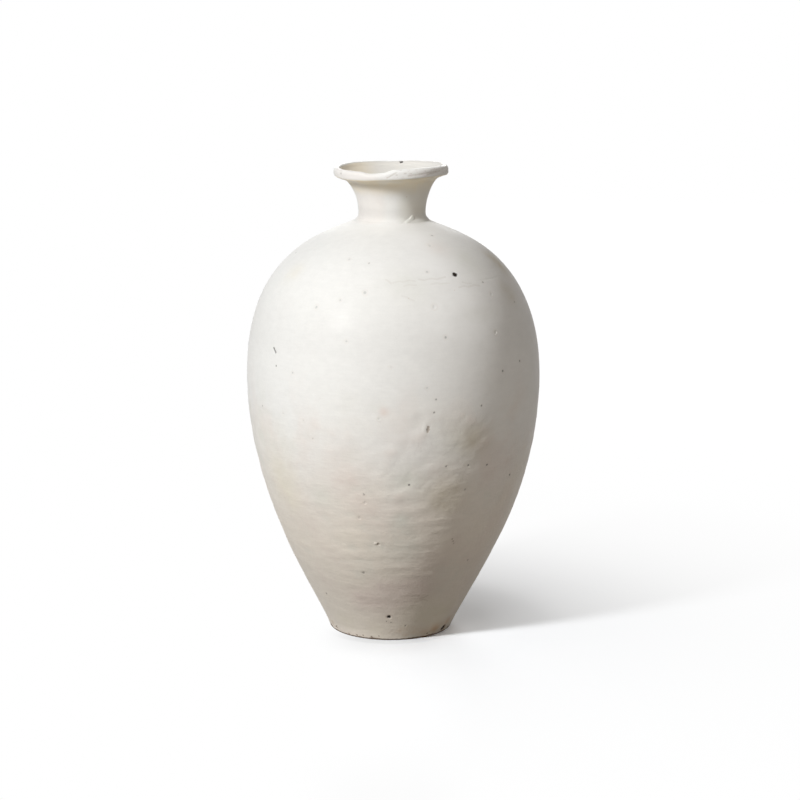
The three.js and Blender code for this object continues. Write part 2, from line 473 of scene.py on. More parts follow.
camera = bpy.data.objects.new("camera", bpy.data.cameras.new("camera"))
camera.location = CAMERA_PLACE
camera.rotation_euler = (CAMERA_TILT, 0, 0)
camera.data.lens = CAMERA_LENS
camera.data.sensor_width = CAMERA_SENSOR
bpy.context.scene.collection.objects.link(camera)
bpy.context.scene.camera = camera

# The axis leans a little as it goes up: sideways steps by height
AXIS_DRIFT = {0: -1.2, 60: -0.1, 120: 1.1, 200: 1.1, 284: 0.3, 330: 0.2, 350: -0.3, 362: -0.9}


def drift_at(height):
    return np.interp(height, list(AXIS_DRIFT), list(AXIS_DRIFT.values()))


# The outside up to the lip's band, in order of height
LIP_ROWS_SEEN = 40
OUTER_SKIN = SKIN[: SKIN_REACH["rolled_lip"][0] + LIP_ROWS_SEEN]
OUTER_SKIN = OUTER_SKIN[np.argsort(OUTER_SKIN[:, 1])]


def wall_radius(height, above=None):
    return np.interp(height, OUTER_SKIN[:, 1], OUTER_SKIN[:, 0], right=above)


def wall_behind(pixel_x, pixel_y):
    """Where the sight line through a pixel of the photograph meets the outer wall, before the axis leans."""
    spread = CAMERA_SENSOR / CAMERA_LENS / PHOTO_WIDTH
    across = (pixel_x - PHOTO_WIDTH / 2) * spread
    upward = (PHOTO_WIDTH / 2 - pixel_y) * spread
    forward = Vector((0, math.sin(CAMERA_TILT), -math.cos(CAMERA_TILT)))
    above = Vector((0, math.cos(CAMERA_TILT), math.sin(CAMERA_TILT)))
    ray = np.array(forward + Vector((1, 0, 0)) * across + above * upward)
    eye = np.array(CAMERA_PLACE) / MM
    places = eye + np.linspace(SIGHT_NEAR, SIGHT_FAR, SIGHT_STEPS)[:, None] * ray
    radius = np.hypot(places[:, 0] - drift_at(places[:, 2]), places[:, 1])
    gap = radius - wall_radius(places[:, 2], above=0)
    met = np.nonzero(gap < 0)[0]
    first = met[0] if len(met) else int(np.argmin(gap))
    place = places[first].copy()
    place[0] -= drift_at(place[2])
    return place


def around(turn, radius, height):
    """A place by degrees round from the front, radius and height."""
    about = math.radians(turn)
    return np.array([radius * math.sin(about), -radius * math.cos(about), height])


def wall_at(turn, height):
    return around(turn, wall_radius(height), height)


# The marks

# Pinholes and small specks of the photograph, by pixel: (across, down, size, darkness)
PINHOLES = [
    (432, 236, 1.5, 0.35), (430, 246, 1.7, 0.12), (349, 259, 1.4, 0.15), (369, 263, 0.8, 0.4),
    (427, 272, 1.4, 0.22), (365, 292.5, 1.8, 0.25), (340, 300, 1.2, 0.2), (316, 307, 1.6, 0.25),
    (346, 341.5, 1.1, 0.2), (275.5, 366, 0.9, 0.9), (292, 373, 1.1, 0.25), (434, 307, 1.9, 0.1),
    (445.5, 337.5, 1.4, 0.4), (482.5, 282.5, 1.1, 0.45), (491, 294.5, 1.5, 0.1), (514, 302, 0.9, 0.5),
    (495, 332.5, 1.7, 0.08), (519, 361, 1.1, 0.65), (502, 371, 1.3, 0.6), (390.5, 367, 1.0, 0.1),
    (427, 388, 1.2, 0.2), (379, 419, 1.4, 0.1), (436, 399.5, 1.0, 0.5), (434, 412.5, 1.0, 0.65),
    (481, 405.5, 0.9, 0.8), (262, 406, 1.1, 0.3), (282.5, 414, 1.0, 0.1), (303, 421, 0.9, 0.15),
    (312.5, 439, 0.9, 0.25), (446, 466, 1.0, 0.6), (468, 465, 0.9, 0.7), (486.5, 464.5, 1.1, 0.9),
    (509, 474.5, 1.2, 0.75), (409, 485, 1.1, 0.85), (364, 495, 0.9, 0.55), (365, 503, 1.7, 0.1),
    (359, 518, 1.8, 0.15), (363.5, 573, 1.6, 0.45), (465, 489, 1.0, 0.5), (467, 559.5, 0.9, 0.55),
    (326, 594, 1.3, 0.5), (405.5, 625.5, 1.2, 0.6), (386.5, 621.5, 0.7, 0.6), (391, 622.5, 0.7, 0.6),
    (341, 172.5, 1.3, 0.35), (343.5, 173, 0.9, 0.3),
]
PINHOLE_HALO = 0.2
# How deep a pinhole is as a share of its size: pale ones are pits, dark ones mostly specks of iron
PALE_PIT, DARK_PIT = 0.14, 0.09

# Larger marks, by the pixels that they run through
IRON_SPOT = dict(pixels=[(454.6, 274.8)], reach=3.0, lift=-0.3, iron=1.0)
FOOT_HOLE = dict(pixels=[(389, 617)], reach=2.3, lift=-0.6, iron=1.0, halo=0.3)
LONG_PIT = dict(pixels=[(273, 348), (275, 352.5)], reach=1.1, lift=-0.4, iron=0.7)
SCAR = [
    dict(pixels=[pixel], reach=reach, lift=-0.3, iron=0.16, buff=0.6)
    for pixel, reach in (((428.4, 427.2), 1.3), ((428.0, 429.6), 1.7), ((427.8, 431.6), 1.1))
]
SCAR_CREST = dict(pixels=[(424.6, 425.0), (424.4, 430.0)], reach=2.0, lift=0.12)
BRIGHT_PIT = dict(pixels=[(378.0, 544.7)], reach=1.8, lift=-0.45, iron=0.2, buff=0.2)
BRIGHT_PIT_CREST = dict(pixels=[(375.2, 543.7)], reach=1.4, lift=0.32)
PINK_SMUDGE = [
    dict(pixels=[pixel], reach=reach, lift=-0.1, buff=0.4)
    for pixel, reach in (((451.3, 538.6), 1.0), ((452.3, 540.8), 1.1), ((452.9, 543.0), 0.8))
]
ROOT_SCAR_CREST = dict(pixels=[(407.0, 221.6), (412.4, 217.8)], reach=2.4, lift=0.42)
ROOT_SCAR_GROOVE = dict(pixels=[(402.2, 223.4), (405.6, 220.4), (409.2, 217.4)], reach=1.3, lift=-0.25)
LARGER_MARKS = [
    IRON_SPOT, FOOT_HOLE, LONG_PIT, *SCAR, SCAR_CREST, BRIGHT_PIT, BRIGHT_PIT_CREST, *PINK_SMUDGE,
    ROOT_SCAR_CREST, ROOT_SCAR_GROOVE,
]

# Thin lines in the glaze, by pixel: (points along it, reach, lift, brownness)
THIN_LINES = [
    (((393, 282.8), (399, 281.4), (403, 282), (409, 280.4), (415, 281.2)), 0.9, -0.05, 0.08),
    (((419, 279.6), (424, 280.4), (431, 278.8), (437, 279.4), (445, 277.2)), 0.9, -0.05, 0.11),
    (((386, 279.6), (389, 281.6), (391, 283.4)), 0.9, -0.05, 0.10),
    (((459, 287.6), (464, 286.2), (468, 287.2), (474, 285.4), (479, 286)), 0.9, -0.05, 0.11),
    (((402, 296), (407, 297.2), (410, 299.4), (414, 300.6)), 0.8, -0.03, 0.07),
    (((462, 282.4), (467, 283.8), (471, 283.6)), 0.8, -0.03, 0.09),
    (((404, 286.2), (409, 284.8), (416, 285.4)), 0.8, -0.03, 0.07),
    (((431, 284.4), (437, 283.2), (441, 284.2), (449, 283.4)), 0.8, -0.03, 0.07),
    (((412, 596.2), (415, 595.0), (419, 595.2)), 0.8, -0.04, 0.20),
    (((419.5, 598.4), (423, 597.4), (427.5, 595)), 0.8, -0.04, 0.22),
    (((421, 599.4), (424, 599.0), (427, 600.4)), 0.7, -0.04, 0.14),
    (((356, 597), (361, 598.6), (366, 598.2)), 0.8, -0.03, 0.10),
    (((368, 604.4), (374, 603.4), (379, 604.2)), 0.8, -0.03, 0.10),
    (((387, 178.4), (395, 174.6), (403, 172.8)), 0.8, -0.06, 0.26),
    (((396, 176.4), (410, 174.6), (425, 174.2)), 0.7, -0.05, 0.24),
    (((408, 177.6), (421, 176.4), (436, 174.2)), 0.7, -0.05, 0.24),
    (((427, 177.4), (440, 173.4)), 0.7, -0.05, 0.22),
    (((403, 174.2), (418, 172.4), (434, 171.6)), 0.6, -0.05, 0.20),
]

# Chips along the foot's edge, by pixel: (across, down, size, depth, iron)
FOOT_CHIPS = [
    (443.0, 627.4, 3.6, 0.9, 0.98), (336.5, 627, 1.5, 0.7, 0.42), (349, 633.6, 0.8, 0.4, 0.35),
    (357, 635.2, 1.0, 0.5, 0.49), (363, 635.4, 0.7, 0.3, 0.56), (371.5, 636.8, 0.9, 0.4, 0.35),
    (379, 636.2, 0.6, 0.3, 0.56), (427, 633.4, 1.0, 0.5, 0.28),
]
FOOT_CHIP_BUFF = 0.7
# The chip on the lip's crest, at the back
LIP_CHIP_PLACE = dict(turn=168.0, radius=39.2, height=359.5)
LIP_CHIP = dict(reach=2.0, lift=-0.8, iron=0.9)

# Broad dents and ridges, by pixel: (points along it, reach, lift)
BROAD_STROKES = [
    (((419, 473), (436, 469), (460, 470.5)), 6.0, 0.15),
    (((398, 484), (407, 481)), 8.0, -0.24),
    (((381, 496), (400, 493.5), (420, 495)), 6.5, 0.15),
    (((395, 500), (412, 487), (426, 475)), 6.0, 0.09),
    (((377, 478), (390, 456), (400, 436)), 8.0, 0.10),
    (((396, 466), (408, 444), (419, 420)), 8.0, -0.10),
    (((413, 458), (422, 438), (430, 412)), 8.0, 0.09),
    (((441, 412), (441, 464)), 4.0, 0.05),
    (((460, 428), (468, 419)), 3.6, 0.16),
    (((464, 432), (473, 421)), 3.6, 0.14),
    (((456, 423), (463, 415)), 3.6, 0.12),
    (((372, 408), (379, 402)), 8.0, -0.12),
    (((330, 470), (352, 455)), 11.0, -0.16),
    (((345, 505), (372, 508)), 7.0, 0.10),
    (((404, 517), (440, 513)), 7.0, -0.13),
    (((330, 540), (352, 546)), 9.0, -0.14),
    (((470, 316), (492, 312)), 14.0, -0.16),
    (((322, 525), (345, 521.5), (375, 523), (410, 525), (442, 521)), 4.2, 0.044),
    (((330, 528.5), (370, 528), (420, 529), (446, 526)), 3.0, -0.034),
    (((325, 534), (350, 533.5), (374, 536)), 4.5, 0.042),
    (((340, 549), (375, 547.5), (410, 549.5), (440, 548)), 3.4, -0.034),
    (((320, 557), (350, 553), (385, 555), (427, 553.5)), 4.5, 0.048),
    (((322, 559.5), (345, 561.2), (380, 560.4), (422, 559.4)), 2.8, -0.054),
    (((335, 567.5), (365, 566), (402, 569)), 4.5, 0.034),
    (((338, 577), (380, 575.5), (424, 578)), 3.6, -0.030),
    (((343, 584), (390, 583), (428, 585.5)), 4.5, 0.030),
    (((348, 590), (395, 588.5), (432, 590.5)), 3.6, -0.028),
    (((318, 514), (340, 511), (362, 513.5)), 5.0, 0.038),
]

# Patches of tone in the glaze, by pixel: (across, down, reach, strength); at the front the pale ones are
# painted light and the olive ones painted shade
TONE_PATCHES = {
    "pink": [
        (352, 492, 26, 0.55), (372, 520, 18, 0.45), (388, 597, 24, 1.4), (416, 592, 18, 1.1),
        (384, 412, 5, 0.7), (438, 248, 15, 0.3), (454, 541, 9, 0.45), (402, 432, 24, 0.3),
        (340, 462, 26, 0.35), (430, 560, 20, 0.5), (505, 460, 26, 0.35), (360, 599, 14, 0.8),
    ],
    # The patch at (455, 440) is painted shade along the shadow's edge; the others are the glaze's own
    # grey-green
    "green": [
        (408, 286, 20, 0.35), (410, 482, 18, 0.55), (401, 522, 13, 0.8), (404, 548, 20, 0.6),
        (322, 498, 14, 0.5), (455, 440, 22, 0.4), (470, 262, 18, 0.45),
    ],
    # Painted shade: olive on the right side, turned from the key lamp, and along the shadow's edge on the belly
    "olive": [
        (446, 496, 22, 0.6), (474, 440, 20, 0.5), (497, 262, 18, 0.75), (508, 292, 14, 0.4),
        (484, 246, 12, 0.35), (446, 608, 16, 0.2),
    ],
    # Painted light: paler glaze on the upper front and right of the body and on the neck
    "pale": [
        (472, 326, 28, 0.9), (440, 318, 24, 0.6), (456, 296, 22, 0.6), (436, 266, 24, 0.7),
        (418, 240, 20, 0.8), (403, 202, 12, 0.9),
    ],
    "cream": [
        (293, 272, 13, 0.4), (281, 478, 22, 0.75), (292, 502, 16, 0.55), (420, 612, 24, 0.8),
        (436, 616, 16, 1.0), (376, 630, 12, 0.6), (346, 622, 14, 0.6),
    ],
    "rust": [(434, 629, 8, 0.8), (332, 622, 3.5, 0.6), (447, 620, 5, 0.6), (424, 632, 5, 0.5)],
}
PATCH_FALL = 2.0

# The side that the photograph doesn't show: how many marks of each kind, and the ranges they are drawn from
BACK_SEED = 31
BACK_PINHOLES = dict(count=62, turn=(78, 282), height=(14, 312), size=(0.8, 1.9), darkness=(0.05, 0.85))
BACK_PALENESS = 1.6
BACK_IRON_SPOTS = [(131, 236, 2.2), (214, 64, 2.0), (247, 171, 1.6)]
BACK_IRON = dict(lift=-0.5, iron=1.0, halo=1.0)
BACK_CHIPS = dict(count=14, turn=(60, 300), height=(0.9, 2.2), size=(1.1, 2.4))
BACK_CHIP_DEPTH = 0.5
BACK_CHIP = dict(iron=0.3, buff=0.8, halo=0.5)
BACK_DENTS = dict(
    count=16, turn=(70, 290), height=(60, 205), slant=(4, 12), climb=(-6, 22), lift=(0.12, 0.26), reach=(5, 10)
)
BACK_PATCHES = dict(turn=(85, 275), height=(20, 290), reach=(14, 34), strength=(0.25, 0.6))
BACK_PATCH_COUNTS = {"pink": 9, "green": 7, "olive": 4, "pale": 5, "cream": 5, "rust": 0}

# How close the marks of a stroke and of a thin line lie, and how many pixels apart its places are found
STROKE_GAP = 0.8
LINE_GAP = 0.5
PIXEL_STEP = 6.0
MARK_KEYS = ("reach", "lift", "iron", "buff", "halo")


def write(mesh, name, values, kind="FLOAT", domain="POINT", key="value"):
    mesh.attributes.new(name, kind, domain).data.foreach_set(key, values)


def mark_cloud(name, marks):
    """Loose points that carry the size and depth of each mark, for the tree to look up."""
    mesh = bpy.data.meshes.new(name)
    mesh.from_pydata([tuple(mark["place"] * MM) for mark in marks], [], [])
    for key in MARK_KEYS:
        write(mesh, key, [float(mark[key]) for mark in marks])
    cloud = bpy.data.objects.new(name, mesh)
    bpy.context.scene.collection.objects.link(cloud)
    return cloud


def mark(place, reach, lift, iron=0.0, buff=0.0, halo=0.0):
    return dict(place=place, reach=reach, lift=lift, iron=iron, buff=buff, halo=halo)


def pinhole(place, size, dark):
    depth = size * (PALE_PIT + (DARK_PIT - PALE_PIT) * dark)
    return mark(place, size, -depth, iron=dark, halo=PINHOLE_HALO)


def seen(pixels):
    """Places on the wall along a row of pixels, close enough together to follow its curve."""
    row = [pixels[0]]
    for (start_x, start_y), (end_x, end_y) in zip(pixels[:-1], pixels[1:]):
        count = math.ceil(math.hypot(end_x - start_x, end_y - start_y) / PIXEL_STEP)
        for share in np.arange(1, count + 1) / count:
            row.append((start_x + (end_x - start_x) * share, start_y + (end_y - start_y) * share))
    return [wall_behind(*pixel) for pixel in row]


def seen_marks(pixels, reach, lift, gap=STROKE_GAP, **colours):
    """The mark behind one pixel, or along several a row of marks close enough to read as one line."""
    places = seen(pixels)
    if len(places) == 1:
        return [mark(places[0], reach, lift, **colours)]
    marks = []
    for start, end in zip(places[:-1], places[1:]):
        count = max(2, math.ceil(np.linalg.norm(end - start) / gap))
        for share in np.linspace(0, 1, count + 1):
            marks.append(mark(start + (end - start) * share, reach, lift, **colours))
    return marks


def draw(chance, ranges, *names):
    return [chance.uniform(*ranges[name]) for name in names]


def back_marks():
    """A seeded scatter of the kinds of mark that the front has."""
    chance = np.random.default_rng(BACK_SEED)
    marks = []
    for _ in range(BACK_PINHOLES["count"]):
        turn, height, size, dark = draw(chance, BACK_PINHOLES, "turn", "height", "size", "darkness")
        marks.append(pinhole(wall_at(turn, height), size, dark**BACK_PALENESS))
    for turn, height, size in BACK_IRON_SPOTS:
        marks.append(mark(wall_at(turn, height), size, **BACK_IRON))
    for _ in range(BACK_CHIPS["count"]):
        turn, height, size = draw(chance, BACK_CHIPS, "turn", "height", "size")
        marks.append(mark(wall_at(turn, height), size, -BACK_CHIP_DEPTH * size, **BACK_CHIP))
    return marks


def fine_marks():
    marks = [pinhole(wall_behind(across, down), size, dark) for across, down, size, dark in PINHOLES]
    for facts in LARGER_MARKS:
        marks += seen_marks(**facts)
    for pixels, reach, lift, brown in THIN_LINES:
        marks += seen_marks(pixels, reach, lift, gap=LINE_GAP, buff=brown)
    for across, down, size, depth, iron in FOOT_CHIPS:
        marks.append(mark(wall_behind(across, down), size, -depth, iron=iron, buff=FOOT_CHIP_BUFF))
    marks.append(mark(around(**LIP_CHIP_PLACE), **LIP_CHIP))
    return marks + back_marks()


def broad_strokes():
    """Every broad dent and ridge: the places it runs through, its reach and its lift."""
    strokes = [(seen(pixels), reach, lift) for pixels, reach, lift in BROAD_STROKES]
    chance = np.random.default_rng(BACK_SEED + 1)
    for _ in range(BACK_DENTS["count"]):
        turn, height, slant, climb = draw(chance, BACK_DENTS, "turn", "height", "slant", "climb")
        side = chance.choice([-1, 1])
        lift, reach = draw(chance, BACK_DENTS, "lift", "reach")
        ends = [wall_at(turn, height), wall_at(turn + slant, height + climb)]
        strokes.append((ends, reach, side * lift))
    return strokes


def dents_at(places):
    """How far the broad strokes lift or sink the wall at each place."""
    total = np.zeros(len(places))
    for run, reach, lift in STROKES:
        away = np.full(len(places), np.inf)
        for start, end in zip(run[:-1], run[1:]):
            way = end - start
            share = np.clip((places - start) @ way / (way @ way), 0, 1)
            away = np.minimum(away, np.linalg.norm(places - start - share[:, None] * way, axis=1))
        total += lift * np.clip(1 - (away / reach) ** 2, 0, None) ** 2
    return total


def tone_patches():
    """The patches of each tone as places with a reach and a strength, with more of them at the back."""
    chance = np.random.default_rng(BACK_SEED + 2)
    patches = {}
    for tone, seen_patches in TONE_PATCHES.items():
        patches[tone] = [(wall_behind(x, y), reach, strength) for x, y, reach, strength in seen_patches]
        for _ in range(BACK_PATCH_COUNTS[tone]):
            turn, height, reach, strength = draw(chance, BACK_PATCHES, "turn", "height", "reach", "strength")
            patches[tone].append((wall_at(turn, height), reach, strength))
    return patches


def tone_at(places, patches):
    total = np.zeros(len(places))
    for centre, reach, strength in patches:
        away = np.linalg.norm(places - centre, axis=1)
        total += strength * np.exp(-((away / reach) ** 2) * PATCH_FALL)
    return np.minimum(total, 1)


STROKES = broad_strokes()
PATCHES = tone_patches()
fine_cloud = mark_cloud("fine_marks", fine_marks())

# Node formulas


class Wire:
    """A value on its way through a node tree. Sums and products of wires lay the Math nodes for them."""

    def __init__(self, tree, socket):
        self.tree, self.socket = tree, socket

    def math(self, operation, *others):
        return lay(self.tree, "ShaderNodeMath", [self, *others], operation=operation)

    def __add__(self, other):
        return self.math("ADD", other)

    def __sub__(self, other):
        return self.math("SUBTRACT", other)

    def __rsub__(self, other):
        return lay(self.tree, "ShaderNodeMath", [other, self], operation="SUBTRACT")

    def __mul__(self, other):
        return self.math("MULTIPLY", other)

    def __truediv__(self, other):
        return self.math("DIVIDE", other)

    def __rtruediv__(self, other):
        return lay(self.tree, "ShaderNodeMath", [other, self], operation="DIVIDE")

    def __pow__(self, other):
        return self.math("POWER", other)

    def __neg__(self):
        return self.math("MULTIPLY", -1.0)

    __radd__ = __add__
    __rmul__ = __mul__

    def vector(self, operation, *others, out=0):
        return lay(self.tree, "ShaderNodeVectorMath", [self, *others], out=out, operation=operation)

    def times(self, size):
        """A vector scaled by a number or by another wire."""
        return lay(self.tree, "ShaderNodeVectorMath", {0: self, "Scale": size}, operation="SCALE")

    def parts(self):
        node = lay_node(self.tree, "ShaderNodeSeparateXYZ", [self])
        return [Wire(self.tree, out) for out in node.outputs]

    def rise(self, low, high):
        """0 below low, 1 above high, and smooth between."""
        feeds = {"Value": self, "From Min": low, "From Max": high}
        return lay(self.tree, "ShaderNodeMapRange", feeds, interpolation_type="SMOOTHSTEP")

    def band(self, low, high, soft):
        return self.rise(low - soft, low + soft) * (1.0 - self.rise(high - soft, high + soft))

    def hump(self, middle, width):
        """1 at the middle, falling smoothly to 0 a width away."""
        return 1.0 - (self - middle).math("ABSOLUTE").rise(0.0, width)


def lay_node(tree, kind, feeds=(), **settings):
    node = tree.nodes.new(kind)
    for name, value in settings.items():
        setattr(node, name, value)
    pairs = feeds.items() if isinstance(feeds, dict) else enumerate(feeds)
    for key, value in pairs:
        socket = node.inputs[key]
        if isinstance(value, Wire):
            tree.links.new(value.socket, socket)
        else:
            socket.default_value = value
    return node


def drive(tree, wire, socket):
    tree.links.new(wire.socket, socket)


def lay(tree, kind, feeds=(), out=0, **settings):
    return Wire(tree, lay_node(tree, kind, feeds, **settings).outputs[out])


def join(tree, x, y, z):
    return lay(tree, "ShaderNodeCombineXYZ", [x, y, z])


def inputs_of(tree):
    return {out.name: Wire(tree, out) for out in tree.nodes.new("NodeGroupInput").outputs if out.name}


def turn_of(x, y):
    """Degrees round from the front."""
    return x.math("ARCTAN2", -y) * math.degrees(1)


def radius_of(x, y):
    return (x * x + y * y) ** 0.5


def curve_of(wire, points):
    """A smooth curve through named points, given as {where: value}."""
    where, value = list(points), list(points.values())
    low, high = min(value), max(value)
    span = (high - low) or 1.0
    share = (wire - where[0]) / (where[-1] - where[0])
    node = lay_node(wire.tree, "ShaderNodeFloatCurve", {"Value": share})
    drawn = node.mapping.curves[0].points
    while len(drawn) < len(where):
        drawn.new(0.5, 0.5)
    places = [(w - where[0]) / (where[-1] - where[0]) for w in where]
    for dot, across, up in zip(drawn, places, value):
        dot.location = (across, (up - low) / span)
    node.mapping.update()
    return Wire(wire.tree, node.outputs[0]) * span + low


# Grain

# Every kind of noise: its scale per millimetre, detail, roughness, stretch and shift,
# then its strength where it swings about zero, or the limits between which it fades in as a mask
PLAIN_GRAIN = dict(detail=2.0, roughness=0.5)
NOISE_SWING = 2.6
GRAIN = {
    "ring wander up": dict(scale=0.028, strength=0.45),
    "ring wander round": dict(scale=0.017, stretch=(1, 1, 0.6), strength=0.5),
    "ring breaks": dict(scale=0.034, detail=3.0, stretch=(1, 1, 2.0)),
    "scrape streaks": dict(scale=0.085, roughness=0.45, stretch=(1, 1, 0.2), strength=1.0),
    "scrape patches": dict(scale=0.016, detail=1.0, limits=(0.36, 0.6)),
    "broad lumps": dict(scale=0.013, strength=1.1),
    "small lumps": dict(scale=0.055, roughness=0.4, stretch=(1, 1, 1.5), strength=0.8),
    "leather": dict(scale=0.13, roughness=0.55, stretch=(1, 1, 1.3), strength=1.0),
    "lathe lines": dict(scale=0.36, detail=3.0, roughness=0.6, stretch=(0.16, 0.16, 1), strength=1.0),
    "dent breaks": dict(scale=0.07, detail=3.0, roughness=0.6, stretch=(1, 1, 1.6)),
    "seam sway": dict(scale=0.02, strength=0.9),
    "seam breaks": dict(scale=0.05, detail=3.0, limits=(0.4, 0.6)),
    "mark edges": dict(scale=0.9, detail=1.0, strength=0.22),
    "lip tremor": dict(scale=0.05, strength=0.25),
    "pink clouds": dict(scale=0.021, detail=4.0, roughness=0.55, stretch=(1, 1, 0.7), limits=(0.5, 0.7)),
    "cream clouds": dict(scale=0.016, detail=3.0, shift=(310, 95, 40), limits=(0.5, 0.72)),
    "cool clouds": dict(scale=0.024, detail=4.0, roughness=0.6, shift=(70, 410, 160), limits=(0.54, 0.74)),
    "mottle": dict(scale=0.16, detail=4.0, roughness=0.6, strength=0.035),
    "fine mottle": dict(scale=0.75, strength=0.018),
    "glaze streaks": dict(scale=0.55, detail=3.0, roughness=0.6, stretch=(0.16, 0.16, 1), strength=0.022),
    "gloss": dict(scale=0.09, detail=4.0, roughness=0.6),
    "ripples": dict(scale=0.3, detail=4.0, roughness=0.6),
    "streak ripples": dict(scale=0.5, detail=3.0, stretch=(0.16, 0.16, 1)),
    "glaze sag": dict(scale=0.02, detail=3.0, stretch=(1, 1, 0.5), strength=22.0),
    "patch edges": dict(scale=0.07, detail=4.0, roughness=0.6, stretch=(1, 1, 1.4)),
    "pool hang": dict(scale=0.1, detail=3.0, strength=1.2),
    "pool breaks": dict(scale=0.06, shift=(20, 0, 0), limits=(0.3, 0.6)),
    "crest lines": dict(scale=1.1, detail=4.0, roughness=0.65, stretch=(0.22, 0.22, 1), limits=(0.54, 0.66)),
    "rust": dict(scale=0.05, detail=3.0, limits=(0.52, 0.7)),
    "ragged foot edge": dict(scale=0.22, detail=3.0, roughness=0.6, strength=0.7),
    "wavy foot edge": dict(scale=0.045, strength=0.5),
    "clay blotches": dict(scale=0.08, detail=4.0, roughness=0.6, limits=(0.35, 0.7)),
    "clay grit": dict(scale=1.3, detail=4.0, roughness=0.7, limits=(0.45, 0.75)),
    "clay pits": dict(scale=0.35, detail=3.0),
    "trimming wander": dict(scale=0.06, strength=0.5),
}


def noise(place, name):
    """Noise from 0 to 1, with the grain of that name."""
    grain = {**PLAIN_GRAIN, **GRAIN[name]}
    if "shift" in grain:
        place = place.vector("ADD", grain["shift"])
    if "stretch" in grain:
        place = place.vector("MULTIPLY", grain["stretch"])
    feeds = {key.capitalize(): grain[key] for key in ("scale", "detail", "roughness")}
    return lay(place.tree, "ShaderNodeTexNoise", {"Vector": place, **feeds})


def uneven(place, name):
    """Noise about zero, which swings about as far as the grain's strength."""
    return (noise(place, name) - 0.5) * (NOISE_SWING * GRAIN[name]["strength"])


def cover(place, name):
    """A mask that is 0 below the grain's limits and 1 above them."""
    return noise(place, name).rise(*GRAIN[name]["limits"])


# The hand work

# The lip isn't level: its tilt, and what its crest adds to it, by degrees round from the front
LIP_TILT = {
    -180: 0.5, -120: 0.5, -90: 0.6, -68: 0.1, -45: -0.5, -12: 0.4, 10: 0.9, 30: 1.5, 52: 2.0,
    80: 1.7, 110: 1.6, 143: 1.0, 180: 0.5,
}
LIP_CREST_LIFT = {
    -180: -0.4, -143: 0.0, -115: -0.5, -90: -1.0, -68: -0.8, -41: -0.3, -26: -1.4, -14: -2.0,
    -4: -1.0, 8: 0.3, 20: 0.4, 43: 0.1, 60: 0.0, 76: -0.3, 90: -0.4, 106: 0.0, 125: 0.1, 143: 0.0,
    180: -0.4,
}
LIP_TILT_ZONE = (338.0, 352.0)
LIP_CREST_ZONE = (353.5, 359.0)
LIP_TREMOR_ZONE = (318.0, 330.0)

# The radius halfway through the lip's wall, by height
LIP_MIDDLE = {345: 33.0, 350: 33.2, 352.2: 35.5, 355: 37.6, 357.6: 38.9, 359.5: 39.2, 364: 39.2}

# Where each kind of hand mark shows, by height
RING_ZONE = {0: 0.0, 12: 0.4, 24: 0.7, 45: 1.0, 95: 1.0, 118: 0.55, 140: 0.25, 200: 0.08, 360: 0.05}
SCRAPE_ZONE = {0: 0.0, 14: 0.35, 60: 0.45, 105: 0.8, 150: 1.0, 190: 0.75, 230: 0.25, 290: 0.08, 360: 0.05}
LATHE_ZONE = {0: 0.6, 40: 1.0, 120: 1.0, 160: 0.6, 210: 0.2, 300: 0.2, 360: 0.3}
LUMP_ZONE = {0: 0.35, 60: 0.8, 110: 1.0, 165: 1.0, 205: 0.45, 250: 0.2, 300: 0.16, 360: 0.2}
FOOT_FADE = (1.0, 8.0)
NECK_FADE = (316.0, 322.0)

# How sharp the rings are and how they break up
RING_SHARPNESS = 2.4
RING_BREAK_GAIN, RING_BREAK_LOSS = 3.4, 1.3
# How far the scrapes turn as they climb, in radians per millimetre
SCRAPE_SLANT = -0.0055
DENT_GAIN, DENT_LEAST = 2.0, 0.1
OVAL_WAVES = 2
# The lines of the shoulder seam: height and half width
UPPER_SEAM_LINE = (286.6, 1.0)
LOWER_SEAM_LINE = (281.3, 0.9)
# Where a fine mark's pit and colours fade out, as shares of its reach, and its halo's middle and width
PIT_EDGE = (0.3, 1.0)
IRON_EDGE = (0.45, 0.85)
BUFF_EDGE = (0.5, 1.15)
HALO_RING = (1.2, 0.6)
HALO_SWELL = 0.03
SEED_SHIFT = (31.0, 17.0, 5.0)

TREE_SIZES = {
    "Ring pitch": 9.8,
    "Ring height": 0.11,
    "Scrape depth": 0.20,
    "Lump height": 0.28,
    "Leather": 0.085,
    "Lathe lines": 0.022,
    "Out of round": 0.5,
    "Seam groove": 0.13,
    "Seed": 7.0,
}


def field(tree, name, kind="FLOAT"):
    """What a mesh carries under that name."""
    return lay(tree, "GeometryNodeInputNamedAttribute", {"Name": name}, data_type=kind)


def throwing_rings(seeded, z, given):
    """Sharp crests with a wandering pitch, broken along their length."""
    upward = join(z.tree, 0.0, 0.0, z + given["Seed"])
    wander = uneven(upward, "ring wander up") + uneven(seeded, "ring wander round")
    crest = ((z / given["Ring pitch"] + wander) * math.tau).math("COSINE") * 0.5 + 0.5
    broken = (noise(seeded, "ring breaks") * RING_BREAK_GAIN - RING_BREAK_LOSS).math("MAXIMUM", 0.0)
    return (crest**RING_SHARPNESS) * broken * curve_of(z, RING_ZONE) * given["Ring height"]


def slanting_scrapes(seeded, z, given):
    """Long streaks that climb to the right."""
    feeds = {"Vector": seeded, "Angle": z * SCRAPE_SLANT}
    turned = lay(z.tree, "ShaderNodeVectorRotate", feeds, rotation_type="Z_AXIS")
    streaks = uneven(turned, "scrape streaks") * cover(seeded, "scrape patches")
    return streaks * curve_of(z, SCRAPE_ZONE) * given["Scrape depth"]


def worked_lumps(seeded, z, given):
    """The lumps and the leathery skin of a wall worked by hand."""
    lumps = (uneven(seeded, "broad lumps") + uneven(seeded, "small lumps")) * given["Lump height"]
    return (lumps + uneven(seeded, "leather") * given["Leather"]) * curve_of(z, LUMP_ZONE)


